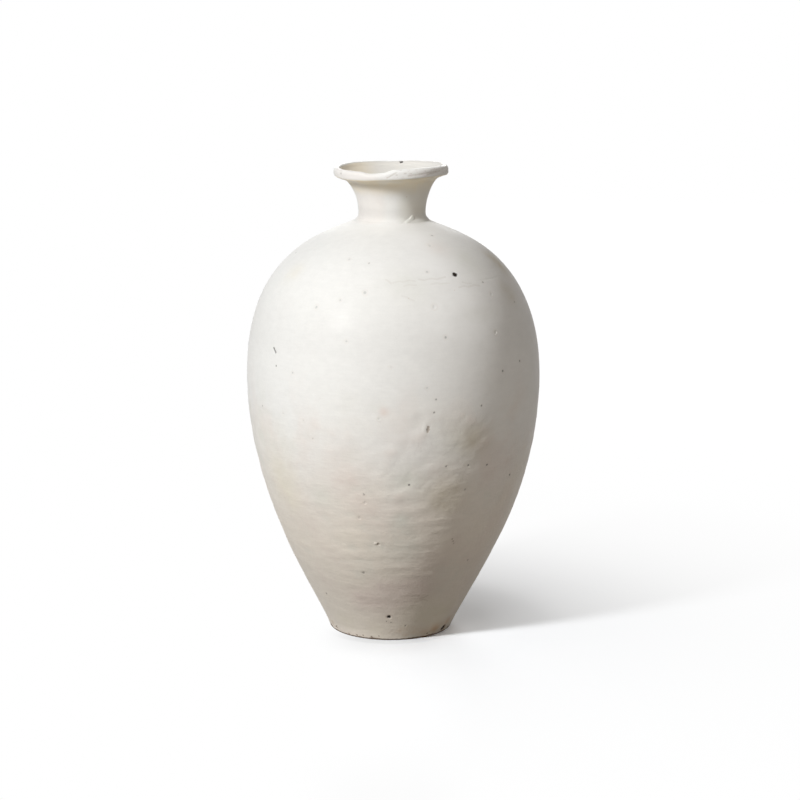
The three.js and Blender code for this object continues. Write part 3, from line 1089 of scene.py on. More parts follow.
def seam_lines(seeded, z, given):
    """The two faint lines where the shoulder was luted on and smoothed over."""
    sway = uneven(seeded, "seam sway")
    lines = (z - sway).hump(*UPPER_SEAM_LINE) + (z + sway).hump(*LOWER_SEAM_LINE)
    return lines * cover(seeded, "seam breaks") * given["Seam groove"]


def nearest_mark(here, place, marks):
    """The lift, iron, buff and halo of the nearest fine mark, each faded with the distance from it."""
    tree = here.tree
    cloud = lay(tree, "GeometryNodeObjectInfo", {"Object": marks}, out="Geometry")
    index = lay(tree, "GeometryNodeSampleNearest", {"Geometry": cloud, "Sample Position": here})

    def of_mark(value, kind="FLOAT"):
        feeds = {"Geometry": cloud, "Value": value, "Index": index}
        return lay(tree, "GeometryNodeSampleIndex", feeds, data_type=kind)

    centre = of_mark(lay(tree, "GeometryNodeInputPosition"), "FLOAT_VECTOR")
    ragged = 1.0 + uneven(place, "mark edges")
    away = here.vector("DISTANCE", centre, out="Value") / MM * ragged
    share = away / of_mark(field(tree, "reach"))
    lift = of_mark(field(tree, "lift")) * (1.0 - share.rise(*PIT_EDGE))
    iron = of_mark(field(tree, "iron")) * (1.0 - share.rise(*IRON_EDGE))
    buff = of_mark(field(tree, "buff")) * (1.0 - share.rise(*BUFF_EDGE))
    halo = of_mark(field(tree, "halo")) * share.hump(*HALO_RING)
    return lift, iron, buff, halo


def hand_work_tree(materials):
    tree = bpy.data.node_groups.new("thrown wall", "GeometryNodeTree")

    def socket(name, kind, way="INPUT"):
        return tree.interface.new_socket(name, in_out=way, socket_type="NodeSocket" + kind)

    socket("Geometry", "Geometry")
    socket("Fine marks", "Object")
    for name, size in TREE_SIZES.items():
        socket(name, "Float").default_value = size
    socket("Geometry", "Geometry", "OUTPUT")
    given = inputs_of(tree)

    here = lay(tree, "GeometryNodeInputPosition")
    place = here.times(1 / MM)
    x, y, z = place.parts()
    turn = turn_of(x, y)
    seeded = place.vector("ADD", join(tree, *(given["Seed"] * shift for shift in SEED_SHIFT)))
    skin = field(tree, "skin")

    # Everything that pushes the wall in or out
    rings = throwing_rings(seeded, z, given)
    scrapes = slanting_scrapes(seeded, z, given)
    lumps = worked_lumps(seeded, z, given)
    lathe = uneven(seeded, "lathe lines") * given["Lathe lines"] * curve_of(z, LATHE_ZONE)
    dents = field(tree, "dents") * (noise(seeded, "dent breaks") * DENT_GAIN + DENT_LEAST)
    oval = (turn * math.radians(OVAL_WAVES)).math("SINE") * given["Out of round"]
    grooves = seam_lines(seeded, z, given)
    on_body = z.rise(*FOOT_FADE) * (1.0 - z.rise(*NECK_FADE))
    relief = (rings + scrapes + lumps + lathe + oval + dents - grooves) * on_body
    tremor = uneven(seeded, "lip tremor") * z.rise(*LIP_TREMOR_ZONE)
    pits, iron, buff, halo = nearest_mark(here, place, given["Fine marks"])
    push = (relief + tremor + pits + halo * HALO_SWELL) * skin

    # Up and down at the lip, then the lean of the axis
    tilt = curve_of(turn, LIP_TILT) * z.rise(*LIP_TILT_ZONE)
    crest_lift = curve_of(turn, LIP_CREST_LIFT) * z.rise(*LIP_CREST_ZONE)
    lean = curve_of(z, AXIS_DRIFT)
    pushed = field(tree, "outward", "FLOAT_VECTOR").times(push)
    offset = pushed.vector("ADD", join(tree, lean, 0.0, tilt + crest_lift)).times(MM)

    shape = given["Geometry"]
    for name, value in (("iron", iron), ("buff", buff), ("halo", halo), ("relief", relief - oval)):
        feeds = {"Geometry": shape, "Name": name, "Value": value * skin}
        shape = lay(tree, "GeometryNodeStoreNamedAttribute", feeds, data_type="FLOAT", domain="POINT")
    shape = lay(tree, "GeometryNodeSetPosition", {"Geometry": shape, "Offset": offset})
    shape = lay(tree, "GeometryNodeRealizeInstances", {"Geometry": shape})
    for finish, material in materials.items():
        feeds = {2: field(tree, "finish", "INT"), 3: finish}
        chosen = lay(tree, "FunctionNodeCompare", feeds, data_type="INT", operation="EQUAL")
        feeds = {"Geometry": shape, "Selection": chosen, "Material": material}
        shape = lay(tree, "GeometryNodeSetMaterial", feeds)
    drive(tree, shape, tree.nodes.new("NodeGroupOutput").inputs[0])
    return tree


# The finishes

WHITE_GLAZE = (0.862, 0.859, 0.842, 1)
WARM_GLAZE = (0.853, 0.788, 0.706, 1)
# PALE_GLAZE is painted light in the pale patches, and the pale worn glaze on the lip's crest
PALE_GLAZE = (0.950, 0.950, 0.940, 1)
BLUSH = (0.790, 0.690, 0.635, 1)
CREAM = (0.850, 0.795, 0.680, 1)
GREY_GREEN = (0.735, 0.740, 0.675, 1)
OLIVE = (0.570, 0.505, 0.370, 1)
# Glaze lying thick under the lip, made light enough to stand as painted light in the lip's shadow
POOLED_AND_LIT_GLAZE = (0.930, 0.830, 0.640, 1)
# Painted light and painted shade for the lip's inner face
INNER_LIP_LIGHT = (0.860, 0.795, 0.670, 1)
INNER_LIP_SHADE = (0.710, 0.695, 0.665, 1)
RUST = (0.600, 0.400, 0.230, 1)
HALO_BROWN = (0.560, 0.450, 0.340, 1)
IRON = (0.022, 0.016, 0.012, 1)
MAUVE = (0.520, 0.420, 0.390, 1)
PALE_CLAY = (0.400, 0.310, 0.230, 1)
DARK_CLAY = (0.170, 0.115, 0.080, 1)
SLIP_PALE = (0.640, 0.580, 0.480, 1)
SLIP_DARK = (0.440, 0.390, 0.310, 1)
INSIDE_GLAZE = (0.800, 0.770, 0.700, 1)
INSIDE_WHITE = (0.730, 0.710, 0.670, 1)

# Tones of the patches: pale is painted light and olive painted shade at the front, and both fall at random at
# the back
TONE_COLOURS = {
    "pale": PALE_GLAZE, "pink": BLUSH, "green": GREY_GREEN, "cream": CREAM, "olive": OLIVE, "rust": RUST,
}

# How bright the glaze is by height, as a share: painted shade over the shoulder and in the crease at the neck's
# root, painted light low on the belly
GLAZE_SHADING_BY_HEIGHT = {
    0: 1.02, 30: 1.0, 60: 1.02, 95: 1.08, 140: 1.07, 200: 1.03, 225: 0.99, 250: 0.935, 270: 0.945,
    300: 0.95, 312: 0.93, 318: 0.89, 324: 0.87, 330: 0.92, 338: 1.0, 362: 1.0,
}

# The glaze of the body: heights between which it turns white and its clouds come and go, and the clouds' shares
WARM_ZONE = (80.0, 196.0)
CLOUD_START = (15.0, 60.0)
CLOUD_END = (150.0, 230.0)
CLOUD_SPAN, CLOUD_LEAST = 0.34, 0.03
CREAM_CLOUD = 0.6
COOL_CLOUD = 0.8
PATCH_GAIN, PATCH_MOST = 2.0, 0.8
# Tone of what stands proud of the wall and of what lies sunken in it, by millimetres
PROUD, PROUD_BLUSH = (0.08, 0.36), 0.25
SUNKEN, SUNKEN_GREEN = (0.05, 0.32), 0.35

# The glaze of the neck and lip: heights and radii, and turns in degrees as (from, to, softness)
BAND_EDGE = (352.9, 353.9)
INNER_EDGE = (NECK_TOP - 0.6, NECK_TOP - 0.2)
INNER_SOFTNESS = 0.8
# The turns where the lip's inner face gets painted light
BEIGE_TURN = (-150.0, -40.0, 18.0)
# Where the glaze lies thick under the lip and is lightened as painted light in the lip's shadow
POOL_ZONE = (338.0, 350.0)
POOL_LEAST, POOL_MOST = 0.6, 0.95
CREAM_TURN = (25.0, 160.0, 22.0)
CREAM_ZONE = (324.0, 350.0, 5.0)
NECK_CREAM = 0.3
WORN_TURN = (-2.0, 74.0, 9.0)
WORN_RADIUS = (36.0, 38.5)
WORN_PALE, WORN_MAUVE = 0.8, 0.4

# The glaze along the foot
RUST_ZONE, RUST_MOST = (3.0, 15.0), 0.45
# The bare edge, painted dark as contact shadow as well as bare clay
BARE_EDGE, BARE_MOST = (1.0, 1.8), 0.9

# Specks of iron: how far apart and how large, their range of sizes, and how much each kind shows
BIG_SPECKS = {"Spread": 13.0, "Size": 0.62}
FINE_SPECKS = {"Spread": 6.0, "Size": 0.34}
INSIDE_SPECKS = {"Spread": 9.0, "Size": 0.8}
CLAY_SPECKS = {"Spread": 5.0, "Size": 0.6}
SPECK_LEAST = 0.25
SPECK_EDGE = (0.55, 1.0)
SPECK_CHANCE = (0.52, 0.56)
BIG_SPECK_SHARE, FINE_SPECK_SHARE = 0.35, 0.2
INSIDE_SPECK_SHARE, CLAY_SPECK_SHARE = 0.4, 0.7
HALO_SHARE = 0.45

# Shine, roughness as its least and its span, and how strongly the surface is embossed
GLAZE_SHINE = {"Specular IOR Level": 0.06, "Coat Weight": 0.035, "Coat Roughness": 0.24}
INSIDE_SHINE = {"Specular IOR Level": 0.1}
CLAY_SHINE = {"Specular IOR Level": 0.2}
GLAZE_ROUGH, GLAZE_ROUGH_SPAN, BARE_ROUGH = 0.36, 0.24, 0.3
INSIDE_ROUGH, INSIDE_ROUGH_SPAN = 0.3, 0.3
CLAY_ROUGH, SLIP_ROUGH, CLAY_ROUGH_SPAN = 0.68, 0.66, 0.15
GLAZE_BUMP, INSIDE_BUMP, CLAY_BUMP, SLIP_BUMP = 0.22, 0.12, 0.5, 0.4
STREAK_RIPPLE = 0.6
# The glaze is smoother over the shoulder
SMOOTH_ZONE, SMOOTH_SHARE = (120.0, 235.0), 0.75

# The inside, and the clay under the foot with its trimming lines per millimetre and its outer edge darkened as
# painted contact shadow
INSIDE_CLOUDS = {"Blush": 0.3, "Depth": 1.4}
INSIDE_WHITE_ZONE = (338.0, 351.0)
BLOTCH_SHARE, GRIT_SHARE = 0.6, 0.4
TRIMMING_LINES = 0.42
TRIMMING_SHADE, TRIMMING_RELIEF = 0.25, 0.8
CLAY_EDGE, CLAY_EDGE_SHADE = (44.5, 46.0), 0.55


def new_material(name, shine):
    """A new material, with constants on its shader's own sockets."""
    material = bpy.data.materials.new(name)
    material.use_nodes = True
    for socket, value in shine.items():
        material.node_tree.nodes["Principled BSDF"].inputs[socket].default_value = value
    return material, material.node_tree


def finish_shader(tree, colour, roughness, height, bump):
    shader = tree.nodes["Principled BSDF"]
    drive(tree, colour, shader.inputs["Base Color"])
    drive(tree, roughness, shader.inputs["Roughness"])
    feeds = {"Height": height, "Strength": bump, "Distance": MM}
    drive(tree, lay(tree, "ShaderNodeBump", feeds), shader.inputs["Normal"])


def object_place(tree):
    """Object coordinates in millimetres."""
    return lay(tree, "ShaderNodeTexCoord", out="Object").times(1 / MM)


def attribute(tree, name):
    return lay(tree, "ShaderNodeAttribute", out="Fac", attribute_name=name)


def blend_colour(share, first, second):
    feeds = {0: share, 6: first, 7: second}
    return lay(share.tree, "ShaderNodeMix", feeds, out=2, data_type="RGBA")


def shade_group(name, inputs, outputs, build):
    """A shader node group with named inputs and outputs, given as {name: socket kind}."""
    tree = bpy.data.node_groups.new(name, "ShaderNodeTree")
    for way, sockets in (("INPUT", inputs), ("OUTPUT", outputs)):
        for label, kind in sockets.items():
            tree.interface.new_socket(label, in_out=way, socket_type="NodeSocket" + kind)
    given = {label.lower(): wire for label, wire in inputs_of(tree).items()}
    end = tree.nodes.new("NodeGroupOutput")
    for label, wire in build(**given).items():
        drive(tree, wire, end.inputs[label])
    return tree


def use_group(group, place, feeds):
    node = lay_node(place.tree, "ShaderNodeGroup", {"Place": place, **feeds}, node_tree=group)
    return {out.name: Wire(place.tree, out) for out in node.outputs}


def cloudy_glaze(place, glaze, blush, depth):
    """Glaze that lies thick in some patches and thin in others."""
    colour = blend_colour(cover(place, "pink clouds") * blush, glaze, BLUSH)
    colour = blend_colour(cover(place, "cream clouds") * blush * CREAM_CLOUD, colour, CREAM)
    colour = blend_colour(cover(place, "cool clouds") * blush * COOL_CLOUD, colour, GREY_GREEN)
    tone = uneven(place, "mottle") + uneven(place, "fine mottle") + uneven(place, "glaze streaks")
    height = noise(place, "ripples") + noise(place, "streak ripples") * STREAK_RIPPLE
    return {"Colour": colour.times(tone * depth + 1.0), "Roughness": noise(place, "gloss"), "Height": height}


def kiln_specks(place, spread, size):
    """Dots of iron that burnt through: a mask of round specks of mixed sizes."""
    cells = {"Vector": place, "Scale": 1.0 / spread}
    away = lay(place.tree, "ShaderNodeTexVoronoi", cells, out="Distance") * spread
    chance, big, _ = lay(place.tree, "ShaderNodeTexVoronoi", cells, out="Color").parts()
    reach = size * (big * big + SPECK_LEAST)
    dot = 1.0 - (away / reach).rise(*SPECK_EDGE)
    return {"Speck": dot * chance.rise(*SPECK_CHANCE)}


def clay_grain(place, pale, dark):
    """Bare fired clay: blotches, grit and pits."""
    darkness = cover(place, "clay blotches") * BLOTCH_SHARE + cover(place, "clay grit") * GRIT_SHARE
    height = noise(place, "clay grit") + noise(place, "clay pits")
    return {"Colour": blend_colour(darkness, pale, dark), "Height": height}


CLOUDY_GLAZE = shade_group(
    "cloudy glaze",
    {"Place": "Vector", "Glaze": "Color", "Blush": "Float", "Depth": "Float"},
    {"Colour": "Color", "Roughness": "Float", "Height": "Float"},
    cloudy_glaze,
)
KILN_SPECKS = shade_group(
    "kiln specks",
    {"Place": "Vector", "Spread": "Float", "Size": "Float"},
    {"Speck": "Float"},
    kiln_specks,
)
CLAY_GRAIN = shade_group(
    "clay grain",
    {"Place": "Vector", "Pale": "Color", "Dark": "Color"},
    {"Colour": "Color", "Height": "Float"},
    clay_grain,
)
STONEWARE = {"Pale": PALE_CLAY, "Dark": DARK_CLAY}
FIRED_SLIP = {"Pale": SLIP_PALE, "Dark": SLIP_DARK}


def body_glaze(place, z):
    """The body's cloudy glaze, thin and warm towards the foot, thick and white over the shoulder."""
    sag = z + uneven(place, "glaze sag")
    glaze = blend_colour(1.0 - sag.rise(*WARM_ZONE), WHITE_GLAZE, WARM_GLAZE)
    clouds = z.rise(*CLOUD_START) * (1.0 - z.rise(*CLOUD_END)) * CLOUD_SPAN + CLOUD_LEAST
    return use_group(CLOUDY_GLAZE, place, {"Glaze": glaze, "Blush": clouds, "Depth": 1.0})


def tinted(colour, place, z):
    """Adds the patches of tone, some of them painted light and shade, the tones that follow the relief, and
    painted light and shade by height.
    """
    ragged = noise(place, "patch edges") * PATCH_GAIN
    for tone, patch in TONE_COLOURS.items():
        share = (attribute(place.tree, tone) * ragged).math("MINIMUM", 1.0)
        colour = blend_colour(share * PATCH_MOST, colour, patch)
    relief = attribute(place.tree, "relief")
    colour = blend_colour(relief.rise(*PROUD) * PROUD_BLUSH, colour, BLUSH)
    colour = blend_colour((-relief).rise(*SUNKEN) * SUNKEN_GREEN, colour, GREY_GREEN)
    # Painted shade over the shoulder and at the neck's root, painted light low on the belly
    return colour.times(curve_of(z, GLAZE_SHADING_BY_HEIGHT))


def lip_glaze(colour, place):
    """Glaze lying thick under the lip and lightened there as painted light in the lip's shadow; painted shade
    and light on the lip's inner face; a cream tint on the neck's right side; glaze worn thin on the crest at
    the right of the front.
    """
    x, y, z = place.parts()
    turn, radius = turn_of(x, y), radius_of(x, y)
    level = z - curve_of(turn, LIP_TILT) * z.rise(*LIP_TILT_ZONE)
    above_band = level.rise(*BAND_EDGE)
    past_middle = radius - curve_of(level, LIP_MIDDLE)
    inner = level.rise(*INNER_EDGE) * (1.0 - past_middle.rise(0.0, INNER_SOFTNESS))
    # Partly glaze lying thick under the lip, partly painted light that lifts the shadow the lip casts on the
    # neck
    pooled_and_lit = (level + uneven(place, "pool hang")).rise(*POOL_ZONE) * (1.0 - above_band) * (1.0 - inner)
    pooled_and_lit = pooled_and_lit * (cover(place, "pool breaks") * (1.0 - POOL_LEAST) + POOL_LEAST)
    colour = blend_colour(pooled_and_lit * POOL_MOST, colour, POOLED_AND_LIT_GLAZE)
    # Painted shade on the lip's inner face, and painted light on its left part, which faces away from the key
    # lamp
    colour = blend_colour(inner, colour, INNER_LIP_SHADE)
    colour = blend_colour(inner * turn.band(*BEIGE_TURN), colour, INNER_LIP_LIGHT)
    # A cream tint on the neck's right side, the side turned from the key lamp
    thick = turn.band(*CREAM_TURN) * z.band(*CREAM_ZONE)
    colour = blend_colour(thick * NECK_CREAM, colour, CREAM)
    worn = turn.band(*WORN_TURN) * above_band * radius.rise(*WORN_RADIUS)
    colour = blend_colour(worn * WORN_PALE, colour, PALE_GLAZE)
    return blend_colour(worn * cover(place, "crest lines") * WORN_MAUVE, colour, MAUVE)


def foot_glaze(colour, place, z):
    """Rust where the glaze is thin along the foot, and the bare edge in the darkest clay, painted as dark as
    the contact shadow under the foot, with a mask of that edge.
    """
    rust = cover(place, "rust") * (1.0 - z.rise(*RUST_ZONE))
    colour = blend_colour(rust * RUST_MOST, colour, RUST)
    low_edge = z + uneven(place, "ragged foot edge") + uneven(place, "wavy foot edge")
    bare = 1.0 - low_edge.rise(*BARE_EDGE)
    # The bare clay edge, painted in the darkest clay as contact shadow too
    return blend_colour(bare * BARE_MOST, colour, DARK_CLAY), bare


def glaze_material():
    material, tree = new_material("white glaze", GLAZE_SHINE)
    place = object_place(tree)
    z = place.parts()[2]
    glaze = body_glaze(place, z)
    colour = tinted(glaze["Colour"], place, z)
    colour = lip_glaze(colour, place)
    colour, bare = foot_glaze(colour, place, z)

    # Specks, chips and iron spots
    iron, buff, halo = (attribute(tree, name) for name in ("iron", "buff", "halo"))
    big_specks = use_group(KILN_SPECKS, place, BIG_SPECKS)["Speck"]
    fine_specks = use_group(KILN_SPECKS, place, FINE_SPECKS)["Speck"]
    specks = big_specks * BIG_SPECK_SHARE + fine_specks * FINE_SPECK_SHARE
    colour = blend_colour(halo * HALO_SHARE, colour, HALO_BROWN)
    colour = blend_colour(specks, colour, HALO_BROWN)
    colour = blend_colour(buff, colour, use_group(CLAY_GRAIN, place, STONEWARE)["Colour"])
    colour = blend_colour(iron, colour, IRON)

    roughness = glaze["Roughness"] * GLAZE_ROUGH_SPAN + GLAZE_ROUGH + (bare + buff) * BARE_ROUGH
    smoothed = 1.0 - z.rise(*SMOOTH_ZONE) * SMOOTH_SHARE
    finish_shader(tree, colour, roughness, glaze["Height"] * smoothed, GLAZE_BUMP)
    return material


def inside_material():
    material, tree = new_material("inside glaze", INSIDE_SHINE)
    place = object_place(tree)
    white = place.parts()[2].rise(*INSIDE_WHITE_ZONE)
    colour = blend_colour(white, INSIDE_GLAZE, INSIDE_WHITE)
    glaze = use_group(CLOUDY_GLAZE, place, {"Glaze": colour, **INSIDE_CLOUDS})
    specks = use_group(KILN_SPECKS, place, INSIDE_SPECKS)["Speck"]
    colour = blend_colour(specks * INSIDE_SPECK_SHARE, glaze["Colour"], HALO_BROWN)
    colour = blend_colour(attribute(tree, "iron"), colour, IRON)
    roughness = glaze["Roughness"] * INSIDE_ROUGH_SPAN + INSIDE_ROUGH
    finish_shader(tree, colour, roughness, glaze["Height"], INSIDE_BUMP)
    return material


def clay_material():
    material, tree = new_material("bare stoneware", CLAY_SHINE)
    place = object_place(tree)
    x, y, _ = place.parts()
    radius = radius_of(x, y)
    grain = use_group(CLAY_GRAIN, place, STONEWARE)
    specks = use_group(KILN_SPECKS, place, CLAY_SPECKS)["Speck"]
    turns = radius * TRIMMING_LINES + uneven(place, "trimming wander")
    trimmed = (turns * math.tau).math("SINE") * 0.5 + 0.5
    colour = blend_colour(trimmed * TRIMMING_SHADE, grain["Colour"], DARK_CLAY)
    # Painted contact shadow: the clay darkened along the foot's outer edge
    colour = blend_colour(radius.rise(*CLAY_EDGE) * CLAY_EDGE_SHADE, colour, DARK_CLAY)
    colour = blend_colour(specks * CLAY_SPECK_SHARE, colour, IRON)
    roughness = grain["Height"] * CLAY_ROUGH_SPAN + CLAY_ROUGH
    finish_shader(tree, colour, roughness, grain["Height"] + trimmed * TRIMMING_RELIEF, CLAY_BUMP)
    return material


def slip_material():
    material, tree = new_material("fired slip", CLAY_SHINE)
    grain = use_group(CLAY_GRAIN, object_place(tree), FIRED_SLIP)
    roughness = grain["Height"] * CLAY_ROUGH_SPAN + SLIP_ROUGH
    finish_shader(tree, grain["Colour"], roughness, grain["Height"], SLIP_BUMP)
    return material


MATERIALS = {
    GLAZE: glaze_material(),
    CLAY: clay_material(),
    INSIDE: inside_material(),
    SLIP: slip_material(),
}

# The pieces


def read(data, key, width=1, kind=np.float32):
    """One value, or a row of them, from each element of a mesh."""
    out = np.zeros(len(data) * width, kind)
    data.foreach_get(key, out)
    return out.reshape(-1, width) if width > 1 else out


def turned_mesh(name, section):
    """Revolves a closed profile into a mesh, with a single point wherever it meets the axis."""
    angle = np.arange(TURN_COLUMNS) * (math.tau / TURN_COLUMNS)
    across, facing = np.sin(angle), -np.cos(angle)

    def turned(pair):
        return np.column_stack([pair[0] * across, pair[0] * facing, np.full(TURN_COLUMNS, pair[1])])

    places, outward, skin, joint, starts = [], [], [], [], []
    for row, out, on_skin, at_joint in zip(section.rows, section.outward, section.skin, section.joint):
        on_axis = row[0] < TINY
        starts.append(sum(len(ring) for ring in places))
        places.append(np.array([[0, 0, row[1]]]) if on_axis else turned(row))
        outward.append(np.zeros((1, 3)) if on_axis else turned(out))
        skin += [float(on_skin)] * len(places[-1])
        joint += [float(at_joint)] * len(places[-1])

    faces, finish = [], []
    here = np.arange(TURN_COLUMNS)
    onward = np.roll(here, -1)
    starts_on_axis = len(places[0]) == 1
    for index in range(len(section.rows) - starts_on_axis):
        after = (index + 1) % len(section.rows)
        low, high = starts[index], starts[after]
        if len(places[index]) == 1:
            corners = [np.full(TURN_COLUMNS, low), high + onward, high + here]
        elif len(places[after]) == 1:
            corners = [low + here, low + onward, np.full(TURN_COLUMNS, high)]
        else:
            corners = [low + here, low + onward, high + onward, high + here]
        faces += np.column_stack(corners).tolist()
        finish += [section.finish[index]] * TURN_COLUMNS

    mesh = bpy.data.meshes.new(name)
    mesh.from_pydata((np.vstack(places) * MM).tolist(), [], faces)
    write(mesh, "outward", np.vstack(outward).ravel(), "FLOAT_VECTOR", key="vector")
    write(mesh, "skin", skin)
    write(mesh, "joint", joint)
    write(mesh, "finish", finish, "INT", "FACE")
    return mesh


def refine_near_marks(mesh, cloud):
    """Cuts the skin more finely round each small mark, clear of the joints."""
    reach = read(cloud.data.attributes["reach"].data, "value", kind=float)
    spots = read(cloud.data.vertices, "co", 3, float) / MM
    shape = bmesh.new()
    shape.from_mesh(mesh)
    shape.faces.ensure_lookup_table()
    skin = shape.verts.layers.float["skin"]
    joint = shape.verts.layers.float["joint"]
    centres = np.array([face.calc_center_median() for face in shape.faces]) / MM
    near = np.zeros(len(centres), bool)
    for place, size in zip(spots, reach):
        near |= np.linalg.norm(centres - place, axis=1) < size * MARK_SPREAD + MARK_MARGIN
    chosen = set()
    for index in np.nonzero(near)[0]:
        face = shape.faces[index]
        if len(face.verts) == 4 and all(v[skin] > 0.5 and v[joint] < 0.5 for v in face.verts):
            chosen.update(face.edges)
    if chosen:
        bmesh.ops.subdivide_edges(shape, edges=list(chosen), cuts=MARK_CUTS, use_grid_fill=True)
    shape.to_mesh(mesh)
    shape.free()


def shaped_piece(name, section, tree):
    mesh = turned_mesh(name, section)
    refine_near_marks(mesh, fine_cloud)
    places = read(mesh.vertices, "co", 3, float) / MM
    write(mesh, "dents", dents_at(places))
    for tone, patches in PATCHES.items():
        write(mesh, tone, tone_at(places, patches))
    rough = bpy.data.objects.new(name + "_rough", mesh)
    bpy.context.scene.collection.objects.link(rough)
    modifier = rough.modifiers.new("hand work", "NODES")
    modifier.node_group = tree
    for item in tree.interface.items_tree:
        if item.name == "Fine marks":
            modifier[item.identifier] = fine_cloud
    depsgraph = bpy.context.evaluated_depsgraph_get()
    made = bpy.data.meshes.new_from_object(
        rough.evaluated_get(depsgraph), preserve_all_data_layers=True, depsgraph=depsgraph
    )
    made.name = name
    rough.modifiers.remove(modifier)
    bpy.data.objects.remove(rough)
    made.shade_smooth()
    made.set_sharp_from_angle(angle=SHARP_EDGE)
    return made


def even_joints(meshes):
    """Gives coincident points of neighbouring pieces one shared normal, so the glaze runs on over a joint."""
    shared, facts = {}, []
    for mesh in meshes:
        corners = read(mesh.loops, "vertex_index", kind=np.int32)
        face_of = np.repeat(np.arange(len(mesh.polygons)), read(mesh.polygons, "loop_total", kind=np.int32))
        glazed = read(mesh.attributes["finish"].data, "value", kind=np.int32) != SLIP
        at_joint = read(mesh.attributes["joint"].data, "value") > 0.5
        loops = np.nonzero(glazed[face_of] & at_joint[corners])[0]
        spots = np.round(read(mesh.vertices, "co", 3)[corners[loops]] / MM, JOINT_DIGITS)
        keys = [tuple(spot) for spot in spots]
        weighted = read(mesh.polygons, "normal", 3) * read(mesh.polygons, "area")[:, None]
        for key, loop in zip(keys, loops):
            shared[key] = shared.get(key, 0) + weighted[face_of[loop]]
        facts.append((mesh, loops, keys))
    for mesh, loops, keys in facts:
        wanted = np.zeros((len(mesh.loops), 3))
        for key, loop in zip(keys, loops):
            wanted[loop] = shared[key] / np.linalg.norm(shared[key])
        mesh.normals_split_custom_set(wanted.tolist())


hand_work = hand_work_tree(MATERIALS)
made_meshes = {name: shaped_piece(name, section, hand_work) for name, section in PROFILES.items()}
even_joints(list(made_meshes.values()))
bpy.data.objects.remove(fine_cloud)

for name, mesh in made_meshes.items():
    piece = bpy.data.objects.new("glazed_" + name, mesh)
    bpy.context.scene.collection.objects.link(piece)
    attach(piece, "root")
    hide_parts(name)

# The floor and the light

FLOOR_REACH = 3.0
FLOOR_SIDES = 96
FLOOR_BOUNCE = (0.22, 0.21, 0.195, 1)
FLOOR_GLOW = (1.0, 1.0, 1.0, 1)
# How much of the lamps' light the floor shows by distance from the axis, on the side away from the key lamp
FLOOR_PAINT = {
    0: 1.0, 0.066: 1.0, 0.086: 0.92, 0.1: 0.85, 0.119: 0.74, 0.13: 0.64, 0.155: 0.48, 0.183: 0.37,
    0.212: 0.27, 0.3: 0.095, 0.45: 0.02, 0.6: 0.0,
}
FLOOR_PAINT_SIDE = (-0.05, 0.03)
# The paint's tint, which takes the pot's warm bounce out of the shadow
FLOOR_COOL = (0.97, 1.0, 1.045)
# The light that falls on the open floor, which the glow makes up to white
FLOOR_LEVEL = 0.85
# The shade in front of the foot, by distance from the axis, and how far it reaches to the front and aside
CONTACT_SHADE = {
    0.0: 0.25, 0.052: 0.25, 0.058: 0.15, 0.065: 0.115, 0.073: 0.08, 0.086: 0.03, 0.10: 0.0, 0.3: 0.0,
}
CONTACT_FRONT = 0.045
CONTACT_ASIDE = (0.015, 0.065)
# Lamps: degrees round from the front and up, power in watts, width and height in metres
NEUTRAL, WARM = (1, 1, 0.99), (1, 0.90, 0.80)
LAMPS = {
    "left_softbox": dict(turn=-47, up=31.5, power=82.0, size=(0.375, 0.45), colour=NEUTRAL),
    "top_softbox": dict(turn=5, up=55, power=12.0, size=(1.2, 1.2), colour=NEUTRAL),
    "front_reflector": dict(turn=36, up=12, power=12.0, size=(1.0, 0.5), colour=WARM),
    "right_reflector": dict(turn=80, up=40, power=7.0, size=(1.0, 1.0), colour=WARM),
    "back_softbox": dict(turn=180, up=18, power=24.0, size=(1.0, 1.0), colour=NEUTRAL),
}
LAMP_DISTANCE = 3.0
LIT_CENTRE = Vector((0, 0, 0.2))
AMBIENT = (0.008, 0.007, 0.006, 1)
BACKDROP = (1.0, 1.0, 1.0, 1)


def seen_rays(tree):
    """1 for the rays that show the floor and the backdrop as the camera sees them."""
    path = tree.nodes.new("ShaderNodeLightPath")
    camera_ray, glossy, through = (
        Wire(tree, path.outputs[name])
        for name in ("Is Camera Ray", "Is Glossy Ray", "Is Transmission Ray")
    )
    return camera_ray.math("MAXIMUM", glossy).math("MAXIMUM", through)


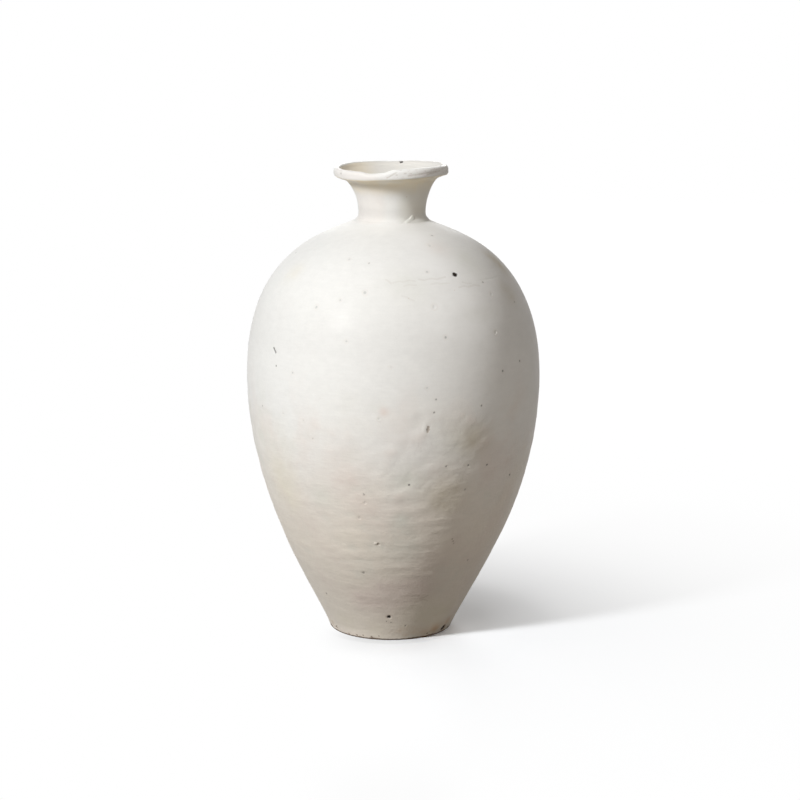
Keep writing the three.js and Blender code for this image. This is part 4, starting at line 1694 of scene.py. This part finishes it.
def floor_material():
    """White to the camera apart from the shadow, a pale bounce to the pot, and nothing from below."""
    material = bpy.data.materials.new("pale floor")
    material.use_nodes = True
    tree = material.node_tree
    tree.nodes.remove(tree.nodes["Principled BSDF"])
    place = lay(tree, "ShaderNodeTexCoord", out="Object")
    spread = place.vector("LENGTH", out="Value")
    across, back, _ = place.parts()
    shown_light = curve_of(spread, FLOOR_PAINT) * across.rise(*FLOOR_PAINT_SIDE)
    contact = (-back).rise(0.0, CONTACT_FRONT) * (1.0 - across.math("ABSOLUTE").rise(*CONTACT_ASIDE))
    lift = 1.0 - shown_light * FLOOR_LEVEL - curve_of(spread, CONTACT_SHADE) * contact
    glow = lay(tree, "ShaderNodeEmission", {"Color": FLOOR_GLOW, "Strength": lift})
    paint_colour = join(tree, *(shown_light * tint for tint in FLOOR_COOL))
    paint = lay(tree, "ShaderNodeBsdfDiffuse", {"Color": paint_colour})
    white = lay(tree, "ShaderNodeAddShader", [glow, paint])
    bounce = lay(tree, "ShaderNodeBsdfDiffuse", {"Color": FLOOR_BOUNCE})
    under = lay(tree, "ShaderNodeNewGeometry", out="Backfacing")
    shown = lay(tree, "ShaderNodeMixShader", [under, white, lay(tree, "ShaderNodeBsdfTransparent")])
    mixed = lay(tree, "ShaderNodeMixShader", [seen_rays(tree), bounce, shown])
    drive(tree, mixed, tree.nodes["Material Output"].inputs["Surface"])
    return material


def pale_floor():
    shape = bmesh.new()
    bmesh.ops.create_circle(shape, cap_ends=True, segments=FLOOR_SIDES, radius=FLOOR_REACH)
    mesh = bpy.data.meshes.new("floor")
    shape.to_mesh(mesh)
    shape.free()
    mesh.materials.append(floor_material())
    floor = bpy.data.objects.new("floor", mesh)
    bpy.context.scene.collection.objects.link(floor)


def lamp(name, turn, up, power, size, colour):
    data = bpy.data.lights.new(name, "AREA")
    data.energy = power
    data.color = colour
    data.shape = "RECTANGLE"
    data.size, data.size_y = size
    light = bpy.data.objects.new(name, data)
    about, above = math.radians(turn), math.radians(up)
    way = Vector((math.sin(about) * math.cos(above), -math.cos(about) * math.cos(above), math.sin(above)))
    light.location = LIT_CENTRE + way * LAMP_DISTANCE
    light.rotation_euler = way.to_track_quat("Z", "Y").to_euler()
    bpy.context.scene.collection.objects.link(light)


def studio_world():
    world = bpy.data.worlds.new("studio")
    bpy.context.scene.world = world
    world.use_nodes = True
    tree = world.node_tree
    colour = blend_colour(seen_rays(tree), AMBIENT, BACKDROP)
    drive(tree, colour, tree.nodes["Background"].inputs["Color"])


pale_floor()
studio_world()
for name, facts in LAMPS.items():
    lamp(name, **facts)

bpy.context.scene.view_settings.view_transform = "Standard"
